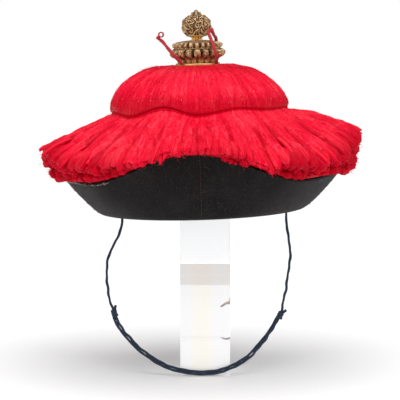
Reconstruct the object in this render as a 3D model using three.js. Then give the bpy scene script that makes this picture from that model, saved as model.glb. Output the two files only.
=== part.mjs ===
import * as THREE from 'three';

// A court hat on a clear block stand. Millimetres, +Z up, the front of the hat towards -Y.
// The origin is the middle of the stand's foot, on the surface that it stands on.
// Heights of the hat are taken above the plane of its opening, and azimuths in degrees
// from the front, growing towards +X.

// Gap between pieces that touch
const pieceGap = 0.3;

// Stand
const standWidth = 50.8;
const standFootHeight = 36;
const standMiddleHeight = 57.2;
const standSlabHeight = 21.5;
const standTopHeight = 187.7;

// How the hat sits: its lean to the left and the place of its opening over the stand
const hatLean = 1.9;
const hatShift = -2.6;

// Crown of felt
const crownRadius = 95;
const crownHeight = 146.4;
const crownFullness = 2.4;
const crownWall = 2;

// Brim of felt, folded round the crown's foot
const brimWall = 2.4;
const brimFoldRadius = 5.5;
const brimInnerHeight = 24;
const brimSideHeight = 36.4;
const brimPeakHeight = 65.2;
const brimSideReach = 37;
const brimPeakReach = 22.5;
const brimPeakSpread = 50;
const brimTurn = -3;
const brimRoll = 1.2;

// Floss, in two tiers with a cord between them
const waistHeight = 102.4;
const waistRadius = 89.2;
const waistCordDiameter = 2;
const waistWave = 5;
const capRadius = 90.6;
const capCrestRise = 1.2;
const capTopRadius = 40;
const capSlump = 3.5;
const skirtReach = 76;
const skirtTipHeight = 36;
const skirtSwell = 4;
const skirtSeat = 0.8;
const lockCount = 30;
const lockDepth = 1.6;
const foldDepth = 5;

// Finial of gilt metal on a pin
const postRadius = 2;
const postHeadRadius = 7;
const postHeadHeight = 1.6;
const plateRadius = 22.5;
const plateHeight = 2.8;
const baseHeight = 22.8;
const baseRadius = 28.2;
const neckHeight = 4.6;
const neckRadius = 4.8;
const ballRadius = 15;
const ballFootRadius = 11;
const ballRise = 10.6;
const ballTopRadius = 6;
const tipHeight = 5.2;

// Cords
const tieDiameter = 2.6;
const tieKnotRadius = 2.3;
const tieLoopRadius = 2.3;
const tieLoopWire = 1.1;
const chinCordDiameter = 2.2;
const chinStrandSpacing = 2.6;
const chinTopDepth = -18;
const chinFootDepth = -28.3;
const chinTurn = 55;
const chinKnotLength = 6;
const chinKnotPlay = 0.66;
const chinKnotRadius = 3.1;

// Sides and columns of the faceted surfaces
const columns = {
  crown: 30, brim: 60, cap: 60, skirt: 3 * lockCount, base: 40, plate: 30, ball: 24, small: 16, knot: 10,
};

const colours = {
  clear: { color: 0xf4f6f6, roughness: 0.08, metalness: 0 },
  grey: { color: 0xd9d2cc, roughness: 0.12, metalness: 0 },
  felt: { color: 0x262223, roughness: 0.95, metalness: 0 },
  floss: { color: 0xe8142f, roughness: 0.7, metalness: 0 },
  gilt: { color: 0x8a6a3c, roughness: 0.42, metalness: 0.9 },
  gold: { color: 0xc08a3a, roughness: 0.3, metalness: 0.95 },
  tie: { color: 0xb32a2e, roughness: 0.7, metalness: 0 },
  navy: { color: 0x2a3446, roughness: 0.8, metalness: 0 },
};

const radians = THREE.MathUtils.degToRad;
const mix = THREE.MathUtils.lerp;

function piece(name, geometry, colour) {
  const mesh = new THREE.Mesh(geometry, new THREE.MeshStandardMaterial(colours[colour]));
  mesh.name = name;
  return mesh;
}

// A value from a table whose first column is an azimuth, eased from row to row right round
function around(table, azimuth, column) {
  const turn = THREE.MathUtils.euclideanModulo(azimuth - table[0][0], 360) + table[0][0];
  let row = table.length - 1;
  while (table[row][0] > turn) row -= 1;
  const from = table[row];
  const to = row + 1 < table.length ? table[row + 1] : table[0];
  const end = row + 1 < table.length ? to[0] : table[0][0] + 360;
  return mix(from[column], to[column], THREE.MathUtils.smoothstep(turn, from[0], end));
}

// A ring whose section is a closed loop of [radius, height] points, counter-clockwise,
// and may change with the azimuth
function ringGeometry(columnCount, sectionAt) {
  const corners = [];
  const faces = [];
  let rows = 0;
  for (let column = 0; column < columnCount; column += 1) {
    const azimuth = column * 360 / columnCount;
    const section = sectionAt(azimuth, column);
    rows = section.length;
    for (const [radius, height] of section) {
      corners.push(radius * Math.sin(radians(azimuth)), -radius * Math.cos(radians(azimuth)), height);
    }
  }
  for (let column = 0; column < columnCount; column += 1) {
    const here = column * rows;
    const next = ((column + 1) % columnCount) * rows;
    for (let row = 0; row < rows; row += 1) {
      const above = (row + 1) % rows;
      faces.push(here + row, next + row, next + above);
      faces.push(here + row, next + above, here + above);
    }
  }
  const geometry = new THREE.BufferGeometry();
  geometry.setAttribute('position', new THREE.Float32BufferAttribute(corners, 3));
  geometry.setIndex(faces);
  geometry.computeVertexNormals();
  return geometry;
}

// A turned piece about +Z, from a closed profile of [radius, height] points
function turnedGeometry(profile, sides) {
  const outline = profile.map(([radius, height]) => new THREE.Vector2(radius, height));
  outline.push(outline[0].clone());
  return new THREE.LatheGeometry(outline, sides).rotateX(Math.PI / 2);
}

// A cord: a six-sided tube along a smooth curve through its chosen points
function cordGeometry(points, diameter, steps) {
  const section = new THREE.Shape();
  for (let side = 0; side < 6; side += 1) {
    const angle = radians(side * 60);
    const x = Math.cos(angle) * diameter / 2;
    const y = Math.sin(angle) * diameter / 2;
    if (side === 0) section.moveTo(x, y);
    else section.lineTo(x, y);
  }
  section.closePath();
  const path = new THREE.CatmullRomCurve3(points, false, 'centripetal');
  return new THREE.ExtrudeGeometry(section, { steps, extrudePath: path, curveSegments: 1 });
}

// The crown's outer surface, less or more by an offset, where its angle is 0 at the foot
// and 90 at the top
function crownPoint(angle, offset) {
  const power = 2 / crownFullness;
  const radius = (crownRadius + offset) * Math.cos(radians(angle)) ** power;
  const height = (crownHeight + offset) * Math.sin(radians(angle)) ** power;
  return [radius, height];
}

function crownAngleAtHeight(height, offset) {
  const share = height / (crownHeight + offset);
  return THREE.MathUtils.radToDeg(Math.asin(share ** (crownFullness / 2)));
}

function crownAngleAtRadius(radius, offset) {
  const share = radius / (crownRadius + offset);
  return THREE.MathUtils.radToDeg(Math.acos(share ** (crownFullness / 2)));
}

// Rows of the crown's surface: four below the waist and four above it, with none in the
// height that the waist's wave takes, so that the floss follows the same rows
const waistRow = crownAngleAtHeight(waistHeight, 0);
const waveRows = crownAngleAtHeight(waistHeight + 1.6 * waistWave, 0) - waistRow;
const lowerRows = [0, 1 / 3, 2 / 3, 1].map((share) => share * (waistRow - waveRows));
const upperRows = [0, 0.3, 0.6, 0.85].map((share) => mix(waistRow + waveRows, 90, share));
const boreRadius = postRadius + pieceGap;

// The flat top of the cap, and the heights of the finial's pieces on the crown
const capTopHeight = crownHeight + capCrestRise;
const plateFoot = crownHeight + pieceGap;
const plateTop = plateFoot + plateHeight;
const baseFoot = plateTop + pieceGap;
const neckFoot = baseFoot + baseHeight + pieceGap;
const ballFoot = neckFoot + neckHeight + pieceGap;
const ballCentre = ballFoot + Math.sqrt(ballRadius ** 2 - ballFootRadius ** 2);
const ballTop = ballCentre + ballRise * Math.sqrt(1 - (ballTopRadius / ballRadius) ** 2);

function crownSurface(offset) {
  const rows = [...lowerRows, ...upperRows].map((angle) => crownPoint(angle, offset));
  rows.push([boreRadius, crownPoint(crownAngleAtRadius(boreRadius, offset), offset)[1]]);
  return rows;
}

function crownGeometry() {
  const section = [...crownSurface(0), ...crownSurface(-crownWall).reverse()];
  return ringGeometry(columns.crown, () => section);
}

// The height of the flat facets inside the crown at a radius
function crownInsideHeight(radius) {
  const reach = radius / Math.cos(Math.PI / columns.crown);
  const rows = crownSurface(-crownWall);
  const above = rows.findIndex((row) => row[0] < reach);
  const below = rows[above - 1];
  return mix(below[1], rows[above][1], (below[0] - reach) / (below[0] - rows[above][0]));
}

// How far the brim has risen from its side height to its peak, at the front and the back
function brimRise(azimuth) {
  const turned = THREE.MathUtils.euclideanModulo(azimuth - brimTurn + 90, 180) - 90;
  if (Math.abs(turned) >= brimPeakSpread) return 0;
  return (1 + Math.cos(Math.PI * turned / brimPeakSpread)) / 2;
}

const brimLegRadius = crownRadius + pieceGap + brimWall / 2;
const brimFoldCentre = brimLegRadius + brimFoldRadius;
const brimFoldHeight = brimFoldRadius + brimWall / 2;

// How the brim's edge strays from its even shape, as shares of its side height and reach
const brimTable = [
  // azimuth, height, reach
  [-90, 0, -0.04],
  [-65, 0.03, -0.04],
  [-45, 0, -0.02],
  [0, 0, 0],
  [45, -0.06, 0.01],
  [78, 0.01, 0.02],
  [100, -0.01, 0.02],
  [180, 0, 0],
];

function brimEdge(azimuth) {
  const rise = brimRise(azimuth);
  const reach = mix(brimSideReach, brimPeakReach, rise) + brimSideReach * around(brimTable, azimuth, 2);
  const height = mix(brimSideHeight, brimPeakHeight, rise);
  return [brimFoldCentre + reach, height + brimSideHeight * around(brimTable, azimuth, 1)];
}

// The middle line of the brim's felt: up the crown's foot, round the fold and up the wall
function brimSection(azimuth) {
  const [edgeRadius, edgeHeight] = brimEdge(azimuth);
  const wallRadius = brimFoldCentre + brimFoldRadius * Math.sin(radians(45));
  const wallHeight = brimFoldHeight - brimFoldRadius * Math.cos(radians(45));
  const middle = [
    [brimLegRadius, brimInnerHeight],
    [brimLegRadius, brimFoldHeight],
    [brimFoldCentre - brimFoldRadius * Math.sin(radians(45)), wallHeight],
    [brimFoldCentre, brimFoldHeight - brimFoldRadius],
    [wallRadius, wallHeight],
    [mix(wallRadius, edgeRadius, 0.52), mix(wallHeight, edgeHeight, 0.52 ** brimRoll)],
    [edgeRadius, edgeHeight],
  ];
  const outside = [];
  const inside = [];
  middle.forEach(([radius, height], row) => {
    const before = middle[Math.max(row - 1, 0)];
    const after = middle[Math.min(row + 1, middle.length - 1)];
    const along = new THREE.Vector2(after[0] - before[0], after[1] - before[1]).normalize();
    outside.push([radius + along.y * brimWall / 2, height - along.x * brimWall / 2]);
    inside.push([radius - along.y * brimWall / 2, height + along.x * brimWall / 2]);
  });
  return [...outside, ...inside.reverse()];
}

// The waist's wave, as shares of waistWave above and below waistHeight
const waistTable = [
  // azimuth, rise
  [-90, -0.36],
  [-70, 0],
  [-50, -0.8],
  [-22, 1],
  [-1, -0.6],
  [25, 0.46],
  [50, -0.04],
  [75, 0.1],
  [105, -0.4],
  [130, 0.5],
  [155, -0.5],
  [180, 0.6],
  [208, -0.5],
  [240, 0.4],
];

function waistAt(azimuth) {
  return waistHeight + waistWave * around(waistTable, azimuth, 1);
}

const waistSlit = waistCordDiameter / 2 + pieceGap;

function waistCordGeometry() {
  return ringGeometry(columns.cap, (azimuth) => [0, 72, 144, 216, 288].map((angle) => [
    waistRadius + Math.cos(radians(angle)) * waistCordDiameter / 2,
    waistAt(azimuth) + Math.sin(radians(angle)) * waistCordDiameter / 2,
  ]));
}

// The cap's outline as shares: how far from the rim to the flat top, and how far up
const capTable = [
  // inward, upward
  [0, 0.06],
  [0.015, 0.22],
  [0.12, 0.46],
  [0.33, 0.7],
  [0.66, 0.91],
  [1, 1],
];

function capSection(azimuth) {
  const foot = waistAt(azimuth) + waistSlit;
  const footAngle = crownAngleAtHeight(foot, pieceGap);
  const flute = 0.5 * Math.cos(radians(azimuth * 16)) + 0.4 * Math.cos(radians(azimuth * 7 + 40));
  const slump = capSlump * (1 + Math.sin(radians(azimuth))) / 2;
  const outline = capTable.map(([inward, upward]) => [
    mix(capRadius, capTopRadius, inward) + flute * (1 - inward),
    mix(foot, capTopHeight, upward) - slump * upward * (4.2 - 3.9 * upward),
  ]);
  const plateEdge = plateRadius + pieceGap;
  return [
    crownPoint(footAngle, pieceGap),
    [waistRadius - waistCordDiameter / 2 - pieceGap, foot],
    ...outline,
    [plateEdge, capTopHeight],
    [plateEdge, plateFoot - pieceGap],
    ...upperRows.slice().reverse().map((angle) => crownPoint(angle, pieceGap)),
  ];
}

// The skirt of locks: the reach of its lip, and the heights of its upper and lower lips
// above the brim's edge, as shares of skirtReach and skirtTipHeight, and the swell of its
// slope as a share of skirtSwell
const skirtTable = [
  // azimuth, reach, upper lip, lower lip, swell
  [-105, 0.95, 0.93, 0, 0.3],
  [-90, 0.95, 0.93, -0.02, 0.1],
  [-76, 0.96, 0.9, 0.04, 0.3],
  [-63, 0.94, 0.7, 0.1, 0.5],
  [-50, 0.9, 0.63, 0.15, 0.5],
  [-36, 0.87, 0.5, 0.08, 0.5],
  [-23, 0.82, 0.12, 0, 0.6],
  [-10, 0.8, 0.2, -0.03, 0.5],
  [4, 0.8, 0.26, -0.04, 0.5],
  [16, 0.81, 0.34, -0.02, 0.6],
  [24, 0.84, 0.12, 0.04, 0.6],
  [38, 0.9, 0.72, 0.1, 0.5],
  [50, 0.92, 0.5, 0.18, 0.6],
  [63, 0.96, 0.68, 0.1, 0.8],
  [77, 0.99, 1.05, 0, 1],
  [90, 0.99, 1.18, -0.07, 1],
  [104, 0.98, 1.05, 0, 0.9],
  [130, 0.92, 0.6, 0.12, 0.5],
  [150, 0.86, 0.35, 0.02, 0.6],
  [165, 0.81, 0.2, -0.02, 0.5],
  [180, 0.8, 0.26, -0.04, 0.5],
  [195, 0.81, 0.22, -0.02, 0.5],
  [212, 0.87, 0.4, 0.05, 0.6],
  [232, 0.93, 0.62, 0.12, 0.5],
];

// The deepest folds between locks, with their depth as a share of foldDepth
const foldTable = [
  // azimuth, depth
  [-78, 1],
  [-57, 0.7],
  [-36, 0.5],
  [-21, 0.8],
  [-3, 1],
  [24, 1],
  [36, 0.7],
  [51, 1],
  [66, 0.8],
  [93, 0.6],
  [120, 0.9],
  [147, 0.7],
  [174, 1],
  [201, 0.7],
  [222, 0.9],
  [249, 0.7],
];

function foldAt(azimuth) {
  let depth = 0;
  for (const [place, share] of foldTable) {
    const away = Math.abs(THREE.MathUtils.euclideanModulo(azimuth - place + 180, 360) - 180);
    depth += share * Math.max(0, 1 - away / 4);
  }
  return depth * foldDepth;
}

function skirtSection(azimuth, column) {
  const [edgeRadius, edgeHeight] = brimEdge(azimuth);
  const lock = Math.floor(column / 3);
  const groove = column % 3 === 0 ? lockDepth : 0;
  const trim = 1.5 * Math.sin(lock * 2.4) + Math.sin(lock * 5.1 + 1);
  const sink = groove + foldAt(azimuth);
  const top = waistAt(azimuth) - waistSlit;
  const seat = edgeHeight + brimWall / 2 + skirtSeat;
  const lipRadius = waistRadius + skirtReach * around(skirtTable, azimuth, 1) + trim;
  const upperLip = edgeHeight + skirtTipHeight * around(skirtTable, azimuth, 2);
  const lowerLip = edgeHeight + skirtTipHeight * around(skirtTable, azimuth, 3) + 0.6 * trim;
  const lowerLipRadius = mix(edgeRadius + brimWall, lipRadius, 0.45) - 0.3 * sink;
  const innerRows = lowerRows.slice(2).map((angle) => crownPoint(angle, pieceGap));
  const topInside = crownPoint(crownAngleAtHeight(top, pieceGap), pieceGap);
  const swell = skirtSwell * around(skirtTable, azimuth, 4);
  const slope = (share, bulge) => [
    mix(waistRadius, lipRadius, share),
    mix(top, upperLip, share) + bulge * swell - sink * share,
  ];
  return [
    [edgeRadius - brimWall, seat],
    [edgeRadius + brimWall, seat],
    [Math.max(lowerLipRadius, edgeRadius + 1.5 * brimWall), lowerLip],
    [lipRadius - 3 - sink, mix(lowerLip, upperLip, 0.25)],
    [lipRadius - 0.6 * sink, mix(lowerLip, upperLip, 0.62)],
    slope(1, 0),
    slope(0.7, 0.9),
    slope(0.36, 1),
    slope(0.1, 0.35),
    [waistRadius - waistCordDiameter / 2 - pieceGap, top],
    topInside,
    ...innerRows.reverse(),
  ];
}

function plateGeometry() {
  const profile = [
    [boreRadius, plateFoot],
    [plateRadius, plateFoot],
    [plateRadius, plateTop - 0.8],
    [plateRadius - 0.8, plateTop],
    [boreRadius, plateTop],
  ];
  return turnedGeometry(profile, columns.plate);
}

// The base's rows of lobes, as shares of baseHeight and baseRadius
const baseTable = [
  // height, radius, lobe depth, lobes round
  [0, 0.76, 0, 8],
  [0.09, 0.76, 0, 8],
  [0.12, 0.71, 0, 8],
  [0.24, 0.86, 0.05, 8],
  [0.39, 1, 0.065, 8],
  [0.53, 0.85, 0.045, 8],
  [0.7, 0.885, 0.04, 16],
  [0.84, 0.79, 0.035, 16],
  [0.96, 0.6, 0.02, 16],
  [1, 0.22, 0, 16],
];

function baseSection(azimuth) {
  const outline = baseTable.map(([height, radius, depth, lobes]) => [
    baseRadius * (radius + depth * Math.cos(radians(azimuth * lobes))),
    baseFoot + baseHeight * height,
  ]);
  return [[boreRadius, baseFoot], ...outline, [boreRadius, baseFoot + baseHeight]];
}

function neckGeometry() {
  const profile = [
    [boreRadius, neckFoot],
    [neckRadius + 0.9, neckFoot],
    [neckRadius, neckFoot + 0.3 * neckHeight],
    [neckRadius + 0.6, neckFoot + 0.5 * neckHeight],
    [ballFootRadius - 1.5, neckFoot + 0.8 * neckHeight],
    [ballFootRadius, neckFoot + neckHeight],
    [boreRadius, neckFoot + neckHeight],
  ];
  return turnedGeometry(profile, columns.small);
}

// The ball is round below its middle and flatter above it
function ballGeometry() {
  const lowest = -Math.acos(ballFootRadius / ballRadius);
  const highest = Math.acos(ballTopRadius / ballRadius);
  const profile = [[boreRadius, ballFoot]];
  for (let row = 0; row <= 7; row += 1) {
    const angle = mix(lowest, highest, row / 7);
    const rise = angle < 0 ? ballRadius : ballRise;
    profile.push([ballRadius * Math.cos(angle), ballCentre + rise * Math.sin(angle)]);
  }
  profile.push([boreRadius, ballTop]);
  return turnedGeometry(profile, columns.ball);
}

// The bud of leaves on the ball
function tipGeometry() {
  const foot = ballTop + pieceGap;
  const outline = [
    [0, foot],
    [0.85 * ballTopRadius, foot],
    [0.8 * ballTopRadius, foot + 0.45 * tipHeight],
    [0.3 * ballTopRadius, foot + 0.7 * tipHeight],
    [0.22 * ballTopRadius, foot + 0.9 * tipHeight],
    [0, foot + tipHeight],
  ].map(([radius, height]) => new THREE.Vector2(radius, height));
  return new THREE.LatheGeometry(outline, columns.small).rotateX(Math.PI / 2);
}

// The pin runs from its head under the crown up to the ball's top
function postGeometry() {
  const headTop = crownHeight - crownWall - 2 * pieceGap;
  const outline = [
    [0, headTop - postHeadHeight],
    [postHeadRadius, headTop - postHeadHeight],
    [postHeadRadius, headTop],
    [postRadius, headTop],
    [postRadius, ballTop - pieceGap],
    [0, ballTop - pieceGap],
  ].map(([radius, height]) => new THREE.Vector2(radius, height));
  return new THREE.LatheGeometry(outline, 12).rotateX(Math.PI / 2);
}

// The stiff red cord ends beside the finial: [x, y, height above the cap's top]
const tieRoutes = {
  red_tie_left: [
    [-16, -18.7, 1.2], [-16.8, -19.6, 3], [-23, -24.5, 10], [-29.8, -23, 18.5], [-34.6, -21, 24.7],
    [-37, -20, 26.6],
  ],
  red_tie_right_front: [
    [18.6, -15.8, 1.1], [19, -17, 3], [18.6, -27.4, 11], [16, -25.5, 20], [13, -17.5, 28.5],
    [11.6, -13.8, 32.4], [13.2, -12.6, 33.6],
  ],
  red_tie_right_back: [
    [15.4, -8, 33.6], [17.5, -2, 29.4], [19.5, 8, 26], [19.5, 19.5, 21.5], [19.8, 26, 11.5], [17.8, 19.6, 3],
    [17.4, 18, 1.2],
  ],
};

// The chin loop: [x, z] in the plane that leans forward from the crown to the stand's face
const chinLeftRoute = [
  [-91, 184], [-88, 175], [-84.8, 166], [-84, 156], [-87.5, 143.5], [-93.5, 131.5], [-98, 121], [-99.7, 108],
  [-99.2, 94], [-97.5, 81], [-94.8, 71], [-92.2, 64.5],
];
const chinSharedRoute = [
  [-90.8, 61.2], [-88.6, 56], [-85.5, 50.3], [-81.5, 44.5], [-76.5, 38.5], [-71, 32.5], [-64.2, 26], [-56, 20],
  [-46.8, 14], [-33.5, 8], [-16, 4.3], [-2, 3.2], [12, 4.4], [24, 8], [36.5, 14], [45, 20], [51, 26],
  [56.5, 32.5], [61.5, 38.7], [66, 45], [69.8, 51], [72.6, 55.8], [74.6, 59.2],
];
const chinRightRoute = [
  [76.2, 62.4], [78, 69.5], [79.8, 79], [82.2, 90], [83.4, 101], [85, 111], [86.2, 121], [85.8, 130],
  [84.5, 140], [83, 150], [82, 160], [82, 168], [83, 177], [85.2, 186],
];

function chinPoint(x, z) {
  const top = chinLeftRoute[0][1];
  return new THREE.Vector3(x, mix(chinTopDepth, chinFootDepth, (top - z) / top), z);
}

// The two strands run side by side between the knots, one turning behind the other on the
// right, and each passes through the middle of the knot that the other one ties
function chinSharedStrand(side) {
  const last = chinSharedRoute.length - 1;
  return chinSharedRoute.map(([x, z], index) => {
    const before = chinSharedRoute[Math.max(index - 1, 0)];
    const after = chinSharedRoute[Math.min(index + 1, last)];
    const along = new THREE.Vector2(after[0] - before[0], after[1] - before[1]).normalize();
    const drift = mix(-0.5, 0.5, index / last);
    const shift = (drift + side / 2) * chinStrandSpacing;
    const turn = radians(chinTurn * THREE.MathUtils.smoothstep(index / last, 0.6, 0.9));
    const sideways = shift * Math.cos(turn);
    const point = chinPoint(x - along.y * sideways, z + along.x * sideways);
    point.y += shift * Math.sin(turn);
    return point;
  });
}

// The knot that a cord passes through, at the last point of its single stretch
function chinKnot(name, single, after) {
  const bore = chinCordDiameter / 2 + chinKnotPlay;
  const profile = [
    [bore, -chinKnotLength / 2],
    [chinKnotRadius * 0.8, -chinKnotLength / 2],
    [chinKnotRadius, -chinKnotLength / 5],
    [chinKnotRadius, chinKnotLength / 5],
    [chinKnotRadius * 0.8, chinKnotLength / 2],
    [bore, chinKnotLength / 2],
  ];
  const knot = piece(name, turnedGeometry(profile, columns.knot), 'navy');
  const along = after.clone().sub(single.at(-2)).normalize();
  knot.position.copy(single.at(-1));
  knot.quaternion.setFromUnitVectors(new THREE.Vector3(0, 0, 1), along);
  return knot;
}

function addStand(group) {
  const blocks = [
    ['stand_foot_block', standFootHeight, 'clear'],
    ['stand_middle_block', standMiddleHeight, 'clear'],
    ['stand_grey_slab', standSlabHeight, 'grey'],
    ['stand_top_block', standTopHeight, 'clear'],
  ];
  let foot = 0;
  for (const [name, height, colour] of blocks) {
    const block = piece(name, new THREE.BoxGeometry(standWidth, standWidth, height), colour);
    block.position.z = foot + height / 2;
    group.add(block);
    foot += height;
  }
  return foot;
}

// The height of the hat's opening at which the crown's dome comes to rest on the corners
// of the stand's top
function hatLift(standHeight) {
  const lean = radians(hatLean);
  let lift = 0;
  for (const side of [-1, 1]) {
    const along = side * standWidth / 2 - hatShift;
    let rest = standHeight - crownHeight;
    for (let pass = 0; pass < 20; pass += 1) {
      const above = standHeight - rest;
      const x = along * Math.cos(lean) + above * Math.sin(lean);
      const dome = crownInsideHeight(Math.hypot(x, standWidth / 2)) - pieceGap;
      rest = standHeight - (dome + along * Math.sin(lean)) / Math.cos(lean);
    }
    lift = Math.max(lift, rest);
  }
  return lift;
}

function addHat(group, lift) {
  const hat = new THREE.Group();
  hat.position.set(hatShift, 0, lift);
  hat.rotation.y = radians(-hatLean);
  hat.add(piece('crown', crownGeometry(), 'felt'));
  hat.add(piece('brim', ringGeometry(columns.brim, brimSection), 'felt'));
  hat.add(piece('floss_cap', ringGeometry(columns.cap, capSection), 'floss'));
  hat.add(piece('floss_skirt', ringGeometry(columns.skirt, skirtSection), 'floss'));
  hat.add(piece('waist_cord', waistCordGeometry(), 'floss'));
  hat.add(piece('finial_plate', plateGeometry(), 'gold'));
  hat.add(piece('finial_base', ringGeometry(columns.base, baseSection), 'gilt'));
  hat.add(piece('finial_neck', neckGeometry(), 'gold'));
  hat.add(piece('finial_ball', ballGeometry(), 'gilt'));
  hat.add(piece('finial_tip', tipGeometry(), 'gold'));
  hat.add(piece('finial_post', postGeometry(), 'gold'));
  addTies(hat);
  group.add(hat);
}

function addTies(hat) {
  for (const [name, route] of Object.entries(tieRoutes)) {
    const points = route.map(([x, y, rise]) => new THREE.Vector3(x, y, capTopHeight + rise));
    hat.add(piece(name, cordGeometry(points, tieDiameter, 9), 'tie'));
  }
  const left = addTieKnot(hat, 'tie_knot_left', tieRoutes.red_tie_left);
  addTieKnot(hat, 'tie_knot_right', tieRoutes.red_tie_right_front);
  const loop = piece('tie_loop_left', new THREE.TorusGeometry(tieLoopRadius, tieLoopWire / 2, 6, 14), 'tie');
  const reach = tieLoopRadius + tieLoopWire / 2 + tieKnotRadius + pieceGap;
  loop.rotation.x = Math.PI / 2;
  loop.position.copy(left).add(new THREE.Vector3(0.59 * reach, -0.5 * reach, 0.64 * reach));
  hat.add(loop);
}

// The knot sits on the end of its cord
function addTieKnot(hat, name, route) {
  const [before, end] = route.slice(-2).map(([x, y, rise]) => new THREE.Vector3(x, y, capTopHeight + rise));
  const along = end.clone().sub(before).normalize();
  const knot = piece(name, new THREE.SphereGeometry(tieKnotRadius, 10, 7), 'tie');
  knot.position.copy(end).addScaledVector(along, tieKnotRadius + pieceGap);
  hat.add(knot);
  return knot.position;
}

function addChinLoop(group) {
  const left = chinLeftRoute.map(([x, z]) => chinPoint(x, z));
  const right = chinRightRoute.map(([x, z]) => chinPoint(x, z)).reverse();
  const upper = chinSharedStrand(1);
  const lower = chinSharedStrand(-1);
  const leftCord = [...left, ...upper];
  const rightCord = [...right, ...lower.reverse()];
  group.add(piece('chin_cord_left', cordGeometry(leftCord, chinCordDiameter, 48), 'navy'));
  group.add(piece('chin_cord_right', cordGeometry(rightCord, chinCordDiameter, 47), 'navy'));
  group.add(chinKnot('chin_knot_left', left, upper[0]));
  group.add(chinKnot('chin_knot_right', right, lower[0]));
}

const courtHat = new THREE.Group();
const standHeight = addStand(courtHat);
addHat(courtHat, hatLift(standHeight));
addChinLoop(courtHat);

export default courtHat;
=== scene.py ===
import math

import bpy
import numpy as np
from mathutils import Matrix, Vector


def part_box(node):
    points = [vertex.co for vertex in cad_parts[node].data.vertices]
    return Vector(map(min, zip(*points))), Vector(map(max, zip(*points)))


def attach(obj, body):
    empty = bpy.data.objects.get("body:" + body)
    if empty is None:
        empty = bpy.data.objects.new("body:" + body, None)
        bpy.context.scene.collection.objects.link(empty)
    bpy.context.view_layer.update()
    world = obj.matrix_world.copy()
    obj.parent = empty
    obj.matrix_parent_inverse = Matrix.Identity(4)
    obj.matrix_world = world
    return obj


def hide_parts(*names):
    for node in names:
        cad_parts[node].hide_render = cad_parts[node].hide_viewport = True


# A court hat on a clear block stand, dressed round its frame. Sizes are in millimetres in the
# hat's own frame until toPart turns them into metres in the part's frame: heights above the
# plane of the opening, azimuths in degrees from the front, growing towards +X.

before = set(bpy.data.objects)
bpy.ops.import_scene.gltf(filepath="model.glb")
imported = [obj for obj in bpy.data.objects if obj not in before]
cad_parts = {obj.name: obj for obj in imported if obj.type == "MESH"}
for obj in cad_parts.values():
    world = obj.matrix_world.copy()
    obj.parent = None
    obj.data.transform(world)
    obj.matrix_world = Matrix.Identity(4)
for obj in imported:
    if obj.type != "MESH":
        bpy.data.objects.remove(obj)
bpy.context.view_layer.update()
scene = bpy.context.scene
scene.view_settings.view_transform = "Standard"
print("frame loaded:", len(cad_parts), "nodes")

cameraSetup = {
    "distance": 1.78,
    "height": 0.35,
    "sideways": -0.00523,
    "pitch": 5.553,
    "lens": 157.468,
}


def makeCamera(setup):
    data = bpy.data.cameras.new("camera")
    data.lens = setup["lens"]
    data.sensor_width = 36
    data.clip_start = 0.05
    data.clip_end = 60
    camera = bpy.data.objects.new("camera", data)
    camera.location = (setup["sideways"], -setup["distance"], setup["height"])
    camera.rotation_euler = (math.radians(90 - setup["pitch"]), 0, 0)
    scene.collection.objects.link(camera)
    scene.camera = camera


makeCamera(cameraSetup)

hatPlace = {"lean": 1.9, "shift": -2.6, "lift": 167.293}


def toPart(points):
    lean = math.radians(hatPlace["lean"])
    points = np.asarray(points, float)
    x, y, z = points[..., 0], points[..., 1], points[..., 2]
    placed = [
        x * math.cos(lean) - z * math.sin(lean) + hatPlace["shift"],
        y,
        x * math.sin(lean) + z * math.cos(lean) + hatPlace["lift"],
    ]
    return np.stack(placed, -1) * 0.001


def runAlong(points):
    # how far each point of a line is from the line's start
    return np.concatenate([[0], np.cumsum(np.linalg.norm(np.diff(points, axis=0), axis=1))])


def evenly(line, count):
    # the same line, with its points at even steps
    run = runAlong(line)
    places = np.linspace(0, run[-1], count)
    return np.stack([np.interp(places, run, values) for values in line.T], -1)


def ringRow(azimuth, radius, height):
    # one row of (radius, height) right round
    return np.stack([radius + 0 * azimuth, height + 0 * azimuth], -1)


def polar(radius, azimuth, height):
    turn = np.radians(azimuth)
    return np.stack(np.broadcast_arrays(radius * np.sin(turn), -radius * np.cos(turn), height), -1)


def smooth(value, low=0.0, high=1.0):
    share = np.clip((value - low) / (high - low), 0, 1)
    return share * share * (3 - 2 * share)


def mix(low, high, share):
    return low + (high - low) * share


def around(table, azimuth, column):
    # a value from a table whose first column is an azimuth, eased from row to row right round
    rows = np.array(table, float)
    keys = rows[:, 0]
    turn = np.mod(np.asarray(azimuth, float) - keys[0], 360) + keys[0]
    here = np.searchsorted(keys, turn, side="right") - 1
    after = (here + 1) % len(keys)
    ends = np.append(keys[1:], keys[0] + 360)
    share = smooth((turn - keys[here]) / (ends[here] - keys[here]))
    return mix(rows[here, column], rows[after, column], share)


def ripple(seed, azimuth, along, turns, stretch, count=24):
    # an even sum of waves that closes on itself right round, mostly between -1 and 1
    draw = np.random.default_rng(seed)
    total = np.zeros(np.broadcast_shapes(np.shape(azimuth), np.shape(along)))
    for _ in range(count):
        often = draw.integers(turns[0], turns[1] + 1)
        slide = draw.uniform(-stretch, stretch)
        phase = draw.uniform(0, 2 * math.pi)
        total = total + np.sin(np.radians(azimuth) * often + slide * along + phase)
    return total / math.sqrt(count)


def addObject(name, mesh, material):
    mesh.materials.clear()
    mesh.materials.append(material)
    piece = bpy.data.objects.new(name, mesh)
    scene.collection.objects.link(piece)
    return piece


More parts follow.
